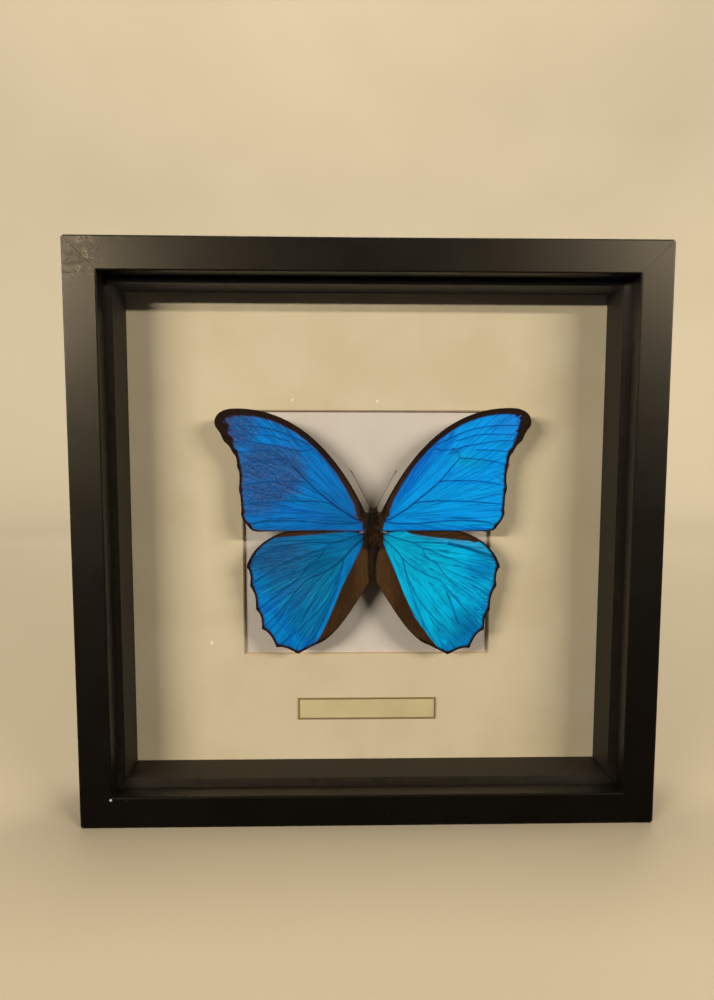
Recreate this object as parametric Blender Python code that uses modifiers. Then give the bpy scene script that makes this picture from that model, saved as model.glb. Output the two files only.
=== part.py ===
# Framed butterfly specimen: a deep box frame, standing on its lower edge, with
# a spread blue butterfly fixed in the air space between the glass and a mat.
# Metres, +Z up, +X to the right, front of the frame towards -Y.
import bpy
import bmesh
import math
from mathutils import Matrix, Vector

MM = 0.001

# ---- driving dimensions, millimetres --------------------------------------
FRAME_SIZE = 250.0          # outer width and height
FRAME_DEPTH = 45.0          # front face to back face
FACE_WIDTH = 14.0           # width of the front face of a rail
LIP_DEPTH = 8.4             # front face to the back of the lip
WALL = 10.0                 # rail thickness behind the lip
CORNER_R = 1.8              # rounding of the four outer corners
EDGE_R = 0.7                # easing of the rail's long edges
GAP = 0.3                   # clearance between touching pieces
FIT = FRAME_SIZE / 2 - WALL - GAP    # half size of everything in the rabbet

GLASS_T = 2.0
SPACER_T = 6.45             # strip thickness, seen as a ledge inside the lip
MAT_FRONT = 30.0            # front face of the frame to the face of the mat
MAT_T = 1.5
WINDOW = 112.0              # square window in the mat
CARD_T = 0.8                # pale card behind the window
BOARD_T = 2.5               # hardboard back
LABEL_W, LABEL_H, LABEL_T = 65.0, 10.6, 0.3
LABEL_DROP = 83.6           # centre of the mat down to the centre of the label

TAB_L, TAB_W, TAB_T = 14.0, 7.0, 0.5       # spring-steel retaining tabs
TAB_IN_RAIL = 5.0
TAB_SPREAD = 62.0           # tabs sit this far each side of a rail's middle

HANGER_L, HANGER_H, HANGER_T = 44.0, 9.0, 0.8
HANGER_DROP = 22.0          # top of the frame down to the hanger's middle
HANGER_TEETH = 9
RIVET_PITCH = 37.0
RIVET_SHANK_R, RIVET_HEAD_R = 0.8, 2.1

BODY_X = 2.1                # the specimen is set a little right of the middle
FORE_Y = 17.6               # depth of the front of the forewings
HIND_Y = 18.9               # the hindwings lie just behind them
WING_T = 0.6
BODY_Y = 19.2               # depth of the body's axis
BLOCK_W, BLOCK_H = 9.0, 15.0               # foam block behind the thorax
BLOCK_Z = 3.0               # middle of the block above the frame's centre

# Wing dimensions, measured outward from the body axis and up from the middle
# of the frame. The margins run in shallow bays between the ends of the veins.
FORE_ROOT = (3.4, 10.6)
FORE_COSTA = ((14.5, 34.5), (32.5, 57.8), (61.5, 57.0))
FORE_APEX = ((67.6, 56.8), (71.2, 53.2), (69.3, 48.6))
FORE_VEIN_ENDS = ((65.8, 42.2), (61.9, 37.2), (60.3, 31.2),
                  (59.7, 20.8), (58.6, 11.2), (55.4, 4.6))
FORE_TORNUS = (49.0, 2.2)
FORE_INNER = ((34.0, 2.6), (18.0, 2.8), (3.4, 2.2))
HIND_ROOT = (3.4, 1.2)
HIND_COSTA = ((14.0, 5.6), (51.5, 8.5), (57.6, -14.6))
HIND_VEIN_ENDS = ((56.2, -23.2), (53.4, -33.9), (50.9, -43.2),
                  (44.2, -51.8), (34.3, -54.8), (23.2, -49.2))
HIND_INNER = ((15.0, -44.0), (9.0, -33.0), (2.6, -22.0))
HIND_ANAL = ((2.3, -15.0), (2.8, -9.0), (3.4, -4.8))
BAY_DEPTH = 0.95
LEFT_FORE_HEIGHT = 0.990    # the left forewing is set a little lower
LEFT_HIND_SIZE = 0.987

THORAX_R = 2.75
ABDOMEN_R = 1.25
BODY_TOP, BODY_WAIST, BODY_END = 12.4, -5.5, -21.2
ANTENNA_ROOT = (1.5, 12.9)
ANTENNA_TIP = (10.2, 29.6)
ANTENNA_R = 0.22

CENTRE_Z = FRAME_SIZE / 2


# ---- scene and helpers -----------------------------------------------------
for old in list(bpy.data.objects):
    bpy.data.objects.remove(old, do_unlink=True)

parts = bpy.data.collections.new("framed_butterfly")
cutters = bpy.data.collections.new("framed_butterfly_cutters")
bpy.context.scene.collection.children.link(parts)
bpy.context.scene.collection.children.link(cutters)


def material(name, colour, roughness, metallic=0.0, alpha=1.0):
    mat = bpy.data.materials.new(name)
    mat.use_nodes = True
    bsdf = mat.node_tree.nodes["Principled BSDF"]
    bsdf.inputs["Base Color"].default_value = (*colour, 1.0)
    bsdf.inputs["Roughness"].default_value = roughness
    bsdf.inputs["Metallic"].default_value = metallic
    bsdf.inputs["Alpha"].default_value = alpha
    mat.diffuse_color = (*colour, 1.0)
    return mat


BLACK = material("black_frame", (0.020, 0.017, 0.014), 0.42)
BLACK_MATT = material("black_spacer", (0.014, 0.012, 0.010), 0.62)
GLASS = material("glass", (0.93, 0.96, 0.95), 0.02, alpha=0.15)
MAT = material("mat_board", (0.62, 0.52, 0.37), 0.85)
PALE = material("pale_card", (0.60, 0.54, 0.47), 0.85)
LABEL = material("label_paper", (0.62, 0.53, 0.34), 0.75)
FOAM = material("foam_block", (0.70, 0.68, 0.62), 0.9)
HARDBOARD = material("hardboard", (0.21, 0.12, 0.06), 0.7)
STEEL = material("zinc_steel", (0.52, 0.51, 0.49), 0.35, 1.0)
CHITIN = material("butterfly_body", (0.035, 0.020, 0.012), 0.7)
FORE_BLUE = material("forewing", (0.0, 0.13, 0.62), 0.4, 0.3)
HIND_BLUE = material("hindwing", (0.0, 0.19, 0.50), 0.4, 0.3)


def adopt(name, mesh, mat, smooth=False):
    """Put a finished mesh in the parts collection under its own name."""
    mesh.name = name
    mesh.materials.clear()
    mesh.materials.append(mat)
    for poly in mesh.polygons:
        poly.use_smooth = smooth
    obj = bpy.data.objects.new(name, mesh)
    parts.objects.link(obj)
    return obj


def curve_to_mesh(curve_data, matrix=Matrix()):
    """Turn a curve into a welded, outward-facing mesh and drop the curve."""
    obj = bpy.data.objects.new("blank", curve_data)
    obj.matrix_world = matrix
    bpy.context.scene.collection.objects.link(obj)
    bpy.context.view_layer.update()
    graph = bpy.context.evaluated_depsgraph_get()
    mesh = bpy.data.meshes.new_from_object(obj.evaluated_get(graph))
    mesh.transform(obj.matrix_world)
    bpy.data.objects.remove(obj, do_unlink=True)
    bm = bmesh.new()
    bm.from_mesh(mesh)
    bmesh.ops.remove_doubles(bm, verts=bm.verts, dist=0.000002)
    bmesh.ops.dissolve_degenerate(bm, edges=bm.edges, dist=0.000002)
    bmesh.ops.recalc_face_normals(bm, faces=bm.faces)
    bm.to_mesh(mesh)
    bm.free()
    return mesh


def plate(outlines, thickness, matrix=Matrix()):
    """Flat plate: 2D outlines (mm) filled and extruded along local Z."""
    data = bpy.data.curves.new("plate", "CURVE")
    data.dimensions = "2D"
    data.fill_mode = "BOTH"
    data.extrude = thickness * MM / 2
    for outline in outlines:
        spline = data.splines.new("POLY")
        spline.points.add(len(outline) - 1)
        for point, (x, y) in zip(spline.points, outline):
            point.co = (x * MM, y * MM, 0.0, 1.0)
        spline.use_cyclic_u = True
    return curve_to_mesh(data, matrix)


def box(name, centre, size, mat, edge=0.0):
    """Box from its centre (x, depth from the front, z) and its size, mm."""
    bm = bmesh.new()
    bmesh.ops.create_cube(bm, size=1.0)
    bmesh.ops.scale(bm, vec=[s * MM for s in size], verts=bm.verts)
    bmesh.ops.translate(bm, vec=place(*centre), verts=bm.verts)
    mesh = bpy.data.meshes.new(name)
    bm.to_mesh(mesh)
    bm.free()
    obj = adopt(name, mesh, mat)
    if edge:
        bevel = obj.modifiers.new("ease", "BEVEL")
        bevel.width = edge * MM
        bevel.segments = 2
        bevel.limit_method = "ANGLE"
    return obj


def place(x, depth, z):
    """Millimetres from the frame's middle and front face, to the world."""
    return Vector((x * MM, (depth - FRAME_DEPTH / 2) * MM, (z + CENTRE_Z) * MM))


def facing(depth, x=0.0, z=0.0):
    """Matrix that stands a plate upright: local X, Y to world X, Z."""
    return Matrix.Translation(place(x, depth, z)) @ Matrix.Rotation(
        math.radians(90), 4, "X")


def bezier(p0, p1, p2, p3, steps):
    """Points of a cubic Bezier from p0 up to but not including p3."""
    out = []
    for i in range(steps):
        t = i / steps
        s = 1 - t
        out.append(tuple(s * s * s * a + 3 * s * s * t * b + 3 * s * t * t * c
                         + t * t * t * d for a, b, c, d in zip(p0, p1, p2, p3)))
    return out


def bays(ends, depth, steps=6):
    """Scalloped margin: a shallow bay between each vein end and the next."""
    out = []
    for (ax, ay), (bx, by) in zip(ends, ends[1:]):
        length = math.hypot(bx - ax, by - ay)
        nx, ny = (by - ay) / length, -(bx - ax) / length
        sag = min(depth, 0.16 * length)
        for i in range(steps):
            t = i / steps
            cut = sag * math.sin(math.pi * t) ** 0.75
            out.append((ax + (bx - ax) * t + nx * cut,
                        ay + (by - ay) * t + ny * cut))
    return out


def cutter_box(name, low, high):
    """A box that cuts: corners in world metres."""
    bm = bmesh.new()
    bmesh.ops.create_cube(bm, size=1.0)
    low, high = Vector(low), Vector(high)
    bmesh.ops.scale(bm, vec=high - low, verts=bm.verts)
    bmesh.ops.translate(bm, vec=(high + low) / 2, verts=bm.verts)
    mesh = bpy.data.meshes.new(name)
    bm.to_mesh(mesh)
    bm.free()
    obj = bpy.data.objects.new(name, mesh)
    cutters.objects.link(obj)
    obj.hide_render = True
    obj.display_type = "WIRE"
    return obj


def cut(obj, cutter):
    mod = obj.modifiers.new("cut_" + cutter.name, "BOOLEAN")
    mod.operation = "DIFFERENCE"
    mod.solver = "EXACT"
    mod.object = cutter
    return mod


# ---- mitred rails and spacers ----------------------------------------------
def arc(cx, cy, r, a0, a1, steps=3):
    return [(cx + r * math.cos(math.radians(a0 + (a1 - a0) * i / steps)),
             cy + r * math.sin(math.radians(a0 + (a1 - a0) * i / steps)))
            for i in range(steps + 1)]


def rail_profile():
    """(inward from the outer face, depth from the front), closed outline."""
    r = EDGE_R
    pts = []
    pts += arc(r, r, r, 180, 270)                        # outer front edge
    pts += arc(FACE_WIDTH - r, r, r, 270, 360)           # inner front edge
    pts += [(FACE_WIDTH, LIP_DEPTH), (WALL, LIP_DEPTH)]  # rabbet
    pts += [(WALL, FRAME_DEPTH)]
    pts += arc(r, FRAME_DEPTH - r, r, 90, 180)           # outer back edge
    return pts


def side_matrix(side):
    """Turns (inward, depth, along) of a rail to the world for each side."""
    inward = {"bottom": (0, 0, 1), "top": (0, 0, -1),
              "left": (1, 0, 0), "right": (-1, 0, 0)}[side]
    inward = Vector(inward)
    depth = Vector((0, 1, 0))
    along = inward.cross(depth)
    m = Matrix((inward, depth, along)).transposed().to_4x4()
    m.translation = place(0, 0, 0) - inward * (FRAME_SIZE / 2) * MM
    return m


def mitred(name, side, profile, length, mat, corner_r=0.0):
    """A straight moulding between two mitres, optionally with its outer
    corners rounded where it meets its neighbours."""
    m = side_matrix(side)
    mesh = plate([profile], length, m)
    bm = bmesh.new()
    bm.from_mesh(mesh)
    inward = Vector(m.col[0][:3])
    along = Vector(m.col[2][:3])
    middle = place(0, 0, 0)
    for sign in (1, -1):
        diagonal = (along * sign + inward).normalized()
        planes = [(middle - diagonal * 0 + along * sign * 0
                   - diagonal * (GAP / 2) * MM, diagonal)]
        if corner_r:
            reach = (FRAME_SIZE / 2 - corner_r) * MM
            centre = middle - inward * reach + along * sign * reach
            for angle in (11.25, 33.75):
                a = math.radians(angle)
                normal = -inward * math.cos(a) + along * sign * math.sin(a)
                planes.append((centre + normal * corner_r * MM, normal))
        for point, normal in planes:
            geom = bm.verts[:] + bm.edges[:] + bm.faces[:]
            hit = bmesh.ops.bisect_plane(bm, geom=geom, dist=1e-7,
                                         plane_co=point, plane_no=normal,
                                         clear_outer=True)
            rim = [e for e in hit["geom_cut"] if isinstance(e, bmesh.types.BMEdge)]
            bmesh.ops.holes_fill(bm, edges=rim, sides=0)
    bmesh.ops.remove_doubles(bm, verts=bm.verts, dist=0.000002)
    bmesh.ops.dissolve_limit(bm, angle_limit=math.radians(0.5), verts=bm.verts,
                             edges=bm.edges)
    bmesh.ops.recalc_face_normals(bm, faces=bm.faces)
    bm.to_mesh(mesh)
    bm.free()
    return adopt(name, mesh, mat)


SIDES = ("top", "bottom", "left", "right")
rails = {side: mitred("frame_rail_" + side, side, rail_profile(),
                      FRAME_SIZE + 4.0, BLACK, CORNER_R) for side in SIDES}

GLASS_FRONT = LIP_DEPTH + GAP
SPACER_FRONT = GLASS_FRONT + GLASS_T + GAP
SPACER_BACK = MAT_FRONT - GAP
u0 = FRAME_SIZE / 2 - FIT
spacer_profile = [(u0, SPACER_FRONT), (u0 + SPACER_T, SPACER_FRONT),
                  (u0 + SPACER_T, SPACER_BACK), (u0, SPACER_BACK)]
for side in SIDES:
    mitred("spacer_" + side, side, spacer_profile, FRAME_SIZE, BLACK_MATT)

# ---- flat sheets from front to back ----------------------------------------
box("glass_pane", (0, GLASS_FRONT + GLASS_T / 2, 0),
    (2 * FIT, GLASS_T, 2 * FIT), GLASS)


def square(half):
    return [(-half, -half), (half, -half), (half, half), (-half, half)]


adopt("mat_board", plate([square(FIT), square(WINDOW / 2)], MAT_T,
                         facing(MAT_FRONT + MAT_T / 2)), MAT)
CARD_FRONT = MAT_FRONT + MAT_T + GAP
box("window_card", (0, CARD_FRONT + CARD_T / 2, 0),
    (2 * FIT, CARD_T, 2 * FIT), PALE)
box("specimen_label", (0, MAT_FRONT - GAP - LABEL_T / 2, -LABEL_DROP),
    (LABEL_W, LABEL_T, LABEL_H), LABEL)
BOARD_FRONT = CARD_FRONT + CARD_T + GAP
BOARD_BACK = BOARD_FRONT + BOARD_T
board = box("backing_board", (0, BOARD_FRONT + BOARD_T / 2, 0),
            (2 * FIT, BOARD_T, 2 * FIT), HARDBOARD)

# ---- retaining tabs, each pushed into a slot in its rail --------------------
TAB_DEPTH = BOARD_BACK + GAP + TAB_T / 2
half = FRAME_SIZE / 2


def tab_outline():
    """Tab along +X from inside the rail to its rounded free end."""
    a = WALL - TAB_IN_RAIL
    b = a + TAB_L
    r = 2.5
    w = TAB_W / 2
    pts = [(a, -w)] + arc(b - r, -w + r, r, 270, 360) + arc(b - r, w - r, r, 0, 90)
    return pts + [(a, w)]


for side in SIDES:
    m = side_matrix(side)
    inward = Vector(m.col[0][:3])
    along = Vector(m.col[2][:3])
    for index, shift in enumerate((-TAB_SPREAD, TAB_SPREAD)):
        base = m.copy()
        base.translation = (m.translation + along * shift * MM
                            + Vector((0, TAB_DEPTH * MM, 0)))
        flat = base @ Matrix.Rotation(math.radians(90), 4, "X")
        adopt("retaining_tab_%s_%d" % (side, index + 1),
              plate([tab_outline()], TAB_T, flat), STEEL)
        slot = cutter_box("slot_%s_%d" % (side, index + 1),
                          (0, 0, 0), (MM, MM, MM))
        slot.data.transform(Matrix.Translation((-0.5 * MM,) * 3))
        slot.data.transform(Matrix.Diagonal((
            2 * (TAB_IN_RAIL + GAP), TAB_T + 2 * GAP, TAB_W + 2 * GAP, 1.0)))
        seat = m.copy()
        seat.translation = base.translation + inward * WALL * MM
        slot.data.transform(seat)
        cut(rails[side], slot)

# ---- hanger on the back board ----------------------------------------------
HANGER_Z = half - HANGER_DROP
HANGER_DEPTH = BOARD_BACK + GAP + HANGER_T / 2


def hanger_outline():
    """Strip with rounded top corners and a row of teeth along the bottom."""
    w, h = HANGER_L / 2, HANGER_H / 2
    pts = arc(w - 2.0, h - 2.0, 2.0, 0, 90) + arc(-w + 2.0, h - 2.0, 2.0, 90, 180)
    pts += [(-w, -h)]
    run = HANGER_L - 14.0
    pitch = run / HANGER_TEETH
    for i in range(HANGER_TEETH):
        x = -run / 2 + pitch * i
        pts += [(x, -h), (x + pitch / 2, -h + 1.6)]
    pts += [(run / 2, -h), (w, -h)]
    return pts


def ring(x, y, r, steps=12):
    return [(x + r * math.cos(2 * math.pi * i / steps),
             y + r * math.sin(2 * math.pi * i / steps)) for i in range(steps)]


hole_r = RIVET_SHANK_R + GAP
adopt("sawtooth_hanger",
      plate([hanger_outline(), ring(-RIVET_PITCH / 2, 1.2, hole_r),
             ring(RIVET_PITCH / 2, 1.2, hole_r)], HANGER_T,
            facing(HANGER_DEPTH, 0, HANGER_Z)), STEEL)

for name, x in (("left", -RIVET_PITCH / 2), ("right", RIVET_PITCH / 2)):
    # turned rivet: shank forward through hanger and board, domed head behind
    seat = HANGER_DEPTH + HANGER_T / 2 + GAP
    tail = BOARD_FRONT + 0.4
    bm = bmesh.new()
    profile = [(0.0, tail), (RIVET_SHANK_R, tail), (RIVET_SHANK_R, seat),
               (RIVET_HEAD_R, seat)]
    profile += [(RIVET_HEAD_R * math.cos(math.radians(a)),
                 seat + 1.1 * math.sin(math.radians(a))) for a in (25, 50, 72)]
    profile += [(0.0, seat + 1.1)]
    verts = [bm.verts.new((r * MM, d * MM, 0)) for r, d in profile]
    for a, b in zip(verts, verts[1:]):
        bm.edges.new((a, b))
    mesh = bpy.data.meshes.new("rivet_profile")
    bm.to_mesh(mesh)
    bm.free()
    rivet = adopt("hanger_rivet_" + name, mesh, STEEL, smooth=True)
    rivet.location = place(x, 0, HANGER_Z + 1.2)
    screw = rivet.modifiers.new("turn", "SCREW")
    screw.axis = "Y"
    screw.steps = 14
    screw.render_steps = 14
    screw.use_normal_flip = True
    screw.use_merge_vertices = True
    screw.merge_threshold = 0.00001
    hole = plate([ring(0, 0, hole_r)], 2 * BOARD_T,
                 facing(BOARD_FRONT + BOARD_T / 2, x, HANGER_Z + 1.2))
    tool = bpy.data.objects.new("rivet_hole_" + name, hole)
    cutters.objects.link(tool)
    tool.hide_render = True
    tool.display_type = "WIRE"
    cut(board, tool)

# ---- the butterfly ---------------------------------------------------------
def forewing_outline():
    pts = bezier(FORE_ROOT, *FORE_COSTA, 14)
    pts += bezier(FORE_COSTA[-1], *FORE_APEX, 5)
    pts += bays((FORE_APEX[-1],) + FORE_VEIN_ENDS + (FORE_TORNUS,), BAY_DEPTH)
    pts += bezier(FORE_TORNUS, *FORE_INNER, 6) + [FORE_INNER[-1]]
    return pts


def hindwing_outline():
    pts = bezier(HIND_ROOT, *HIND_COSTA, 12)
    pts += bays((HIND_COSTA[-1],) + HIND_VEIN_ENDS, BAY_DEPTH)
    pts += bezier(HIND_VEIN_ENDS[-1], *HIND_INNER, 8)
    pts += bezier(HIND_INNER[-1], *HIND_ANAL, 4) + [HIND_ANAL[-1]]
    return pts


def wing(name, outline, front, side, mat, scale=(1.0, 1.0)):
    shape = [(x * side * scale[0], y * scale[1]) for x, y in outline]
    if side < 0:
        shape.reverse()
    return adopt(name, plate([shape], WING_T,
                             facing(front + WING_T / 2, BODY_X)), mat)


wing("forewing_left", forewing_outline(), FORE_Y, -1, FORE_BLUE,
     (1.0, LEFT_FORE_HEIGHT))
wing("forewing_right", forewing_outline(), FORE_Y, 1, FORE_BLUE)
wing("hindwing_left", hindwing_outline(), HIND_Y, -1, HIND_BLUE,
     (LEFT_HIND_SIZE, LEFT_HIND_SIZE))
wing("hindwing_right", hindwing_outline(), HIND_Y, 1, HIND_BLUE)


def tube(name, points, radii, resolution, mat, squash=1.0):
    """A tapering tube through points (x, depth, z), mm, radii in mm."""
    data = bpy.data.curves.new(name, "CURVE")
    data.dimensions = "3D"
    data.bevel_depth = MM
    data.bevel_resolution = resolution
    data.use_fill_caps = True
    spline = data.splines.new("POLY")
    spline.points.add(len(points) - 1)
    for point, (x, depth, z), r in zip(spline.points, points, radii):
        point.co = (*place(x, depth, z), 1.0)
        point.radius = r
    mesh = curve_to_mesh(data)
    if squash != 1.0:
        mid = place(0, BODY_Y, 0)
        mesh.transform(Matrix.Translation(mid) @ Matrix.Diagonal(
            (1.0, squash, 1.0, 1.0)) @ Matrix.Translation(-mid))
    return adopt(name, mesh, mat, smooth=True)


def body_radius(z):
    """Head, thorax and slender dried abdomen along the body's length."""
    head = 1.75 * math.sqrt(max(0.0, 1 - ((z - 10.7) / 1.9) ** 2))
    mid = (9.6 + BODY_WAIST) / 2
    half_len = (9.6 - BODY_WAIST) / 2 + 0.6
    thorax = THORAX_R * max(0.0, 1 - ((z - mid) / half_len) ** 2) ** 0.38
    t = (z - BODY_END) / (BODY_WAIST - BODY_END)
    abdomen = ABDOMEN_R * min(1.0, max(0.0, t) * 4) ** 0.5 if t < 1.2 else 0.0
    return max(head, thorax, abdomen, 0.25)


steps = 34
zs = [BODY_TOP + (BODY_END - BODY_TOP) * i / steps for i in range(steps + 1)]
tube("butterfly_body", [(BODY_X, BODY_Y, z) for z in zs],
     [body_radius(z) for z in zs], 4, CHITIN, squash=1.2)

for name, side in (("left", -1), ("right", 1)):
    pts, radii = [], []
    for i in range(13):
        t = i / 12
        x = ANTENNA_ROOT[0] + (ANTENNA_TIP[0] - ANTENNA_ROOT[0]) * t ** 1.08
        z = ANTENNA_ROOT[1] + (ANTENNA_TIP[1] - ANTENNA_ROOT[1]) * t
        pts.append((BODY_X + side * x, BODY_Y - 1.0 - 0.8 * t, z))
        radii.append(ANTENNA_R * (1.0 if t < 0.8 else 1.0 + 2.2 * (t - 0.8)))
    tube("antenna_" + name, pts, radii, 2, CHITIN)

# foam block between the pale card and the thorax, hidden by the wing roots
BLOCK_FRONT = BODY_Y + THORAX_R * 1.2 + GAP
BLOCK_BACK = CARD_FRONT - GAP
box("mounting_block", (BODY_X, (BLOCK_FRONT + BLOCK_BACK) / 2, BLOCK_Z),
    (BLOCK_W, BLOCK_BACK - BLOCK_FRONT, BLOCK_H), FOAM, edge=0.5)
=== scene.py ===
# Looks of the framed butterfly specimen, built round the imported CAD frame.
# Lengths are millimetres in the frame's own terms: x to the right of the middle,
# depth back from the front face, z up from the middle. W() turns them to metres.
import bpy
import math
import numpy as np
from mathutils import Matrix, Vector


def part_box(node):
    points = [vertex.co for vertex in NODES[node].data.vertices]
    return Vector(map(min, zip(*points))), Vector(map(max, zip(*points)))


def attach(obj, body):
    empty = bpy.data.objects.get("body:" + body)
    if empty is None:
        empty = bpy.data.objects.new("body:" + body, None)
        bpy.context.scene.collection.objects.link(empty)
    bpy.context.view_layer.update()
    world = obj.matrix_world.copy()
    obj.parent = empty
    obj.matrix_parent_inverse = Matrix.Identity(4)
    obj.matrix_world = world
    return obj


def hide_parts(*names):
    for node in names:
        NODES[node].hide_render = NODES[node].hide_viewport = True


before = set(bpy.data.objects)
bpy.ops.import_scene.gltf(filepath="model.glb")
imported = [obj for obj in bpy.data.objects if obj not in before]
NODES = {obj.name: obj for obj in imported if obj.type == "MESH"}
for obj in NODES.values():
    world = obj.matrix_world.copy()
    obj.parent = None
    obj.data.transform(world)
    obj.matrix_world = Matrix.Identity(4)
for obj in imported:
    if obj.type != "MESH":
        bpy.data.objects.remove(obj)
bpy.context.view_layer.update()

# ---- the CAD's own numbers, millimetres ------------------------------------
FRAME_SIZE, FRAME_DEPTH, FACE_WIDTH = 250.0, 45.0, 14.0
WINDOW, MAT_FRONT = 112.0, 30.0
BODY_X, FORE_Y, HIND_Y, WING_T, BODY_Y = 2.1, 17.6, 18.9, 0.6, 19.2
FORE_ROOT = (3.4, 10.6)
FORE_COSTA = ((14.5, 34.5), (32.5, 57.8), (61.5, 57.0))
FORE_APEX = ((67.6, 56.8), (71.2, 53.2), (69.3, 48.6))
FORE_VEIN_ENDS = ((65.8, 42.2), (61.9, 37.2), (60.3, 31.2),
                  (59.7, 20.8), (58.6, 11.2), (55.4, 4.6))
FORE_TORNUS = (49.0, 2.2)
FORE_INNER = ((34.0, 2.6), (18.0, 2.8), (3.4, 2.2))
HIND_ROOT = (3.4, 1.2)
HIND_COSTA = ((14.0, 5.6), (51.5, 8.5), (57.6, -14.6))
HIND_VEIN_ENDS = ((56.2, -23.2), (53.4, -33.9), (50.9, -43.2),
                  (44.2, -51.8), (34.3, -54.8), (23.2, -49.2))
HIND_INNER = ((15.0, -44.0), (9.0, -33.0), (2.6, -22.0))
HIND_ANAL = ((2.3, -15.0), (2.8, -9.0), (3.4, -4.8))
# scallop depths of the real margin; a minus bulges outwards
FORE_BAYS = (0.5, 0.7, 0.9, 0.9, 0.5, -0.9, -1.2)
HIND_BAYS = (1.3, 1.3, 1.3, 1.5, 1.2, 0.3)
HIND_FOLD = ((0.9, -15.0), (1.3, -9.0), (3.4, -4.8))     # the fold passes behind the abdomen
LEFT_FORE_HEIGHT, LEFT_HIND_SIZE = 0.990, 0.987
THORAX_R, ABDOMEN_R = 2.75, 1.25
BODY_TOP, BODY_WAIST, BODY_END = 12.4, -5.5, -21.2
ANTENNA_ROOT, ANTENNA_TIP = (1.5, 12.9), (10.2, 29.6)


def W(x, depth, z):
    return (x / 1000.0, (depth - 22.5) / 1000.0, (z + 125.0) / 1000.0)


def Wn(p):
    p = np.asarray(p, float)
    return np.stack([p[:, 0] / 1000.0, (p[:, 1] - 22.5) / 1000.0,
                     (p[:, 2] + 125.0) / 1000.0], 1)


def srgb(r, g, b):
    out = []
    for c in (r, g, b):
        c = c / 255.0
        out.append(c / 12.92 if c <= 0.04045 else ((c + 0.055) / 1.055) ** 2.4)
    return tuple(out)


# ---- seeded value noise for shapes ------------------------------------------
LATTICE = np.random.RandomState(11).rand(256, 256)


def vnoise(x, y, seed=0):
    """Smooth 2-D value noise, 0 to 1, one cell to a unit."""
    x = np.asarray(x, float) + seed * 37.31 + 500.0
    y = np.asarray(y, float) + seed * 17.77 + 500.0
    xi, yi = np.floor(x).astype(int), np.floor(y).astype(int)
    fx, fy = x - xi, y - yi
    fx, fy = fx * fx * (3 - 2 * fx), fy * fy * (3 - 2 * fy)
    a, b = LATTICE[xi % 256, yi % 256], LATTICE[(xi + 1) % 256, yi % 256]
    c, d = LATTICE[xi % 256, (yi + 1) % 256], LATTICE[(xi + 1) % 256, (yi + 1) % 256]
    return (a * (1 - fx) + b * fx) * (1 - fy) + (c * (1 - fx) + d * fx) * fy


def fbm(x, y, seed=0, octaves=4):
    total, amp, norm, f = 0.0, 1.0, 0.0, 1.0
    for o in range(octaves):
        total = total + amp * vnoise(np.asarray(x) * f, np.asarray(y) * f, seed + 5 * o)
        norm += amp
        amp *= 0.5
        f *= 2.03
    return total / norm


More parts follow.
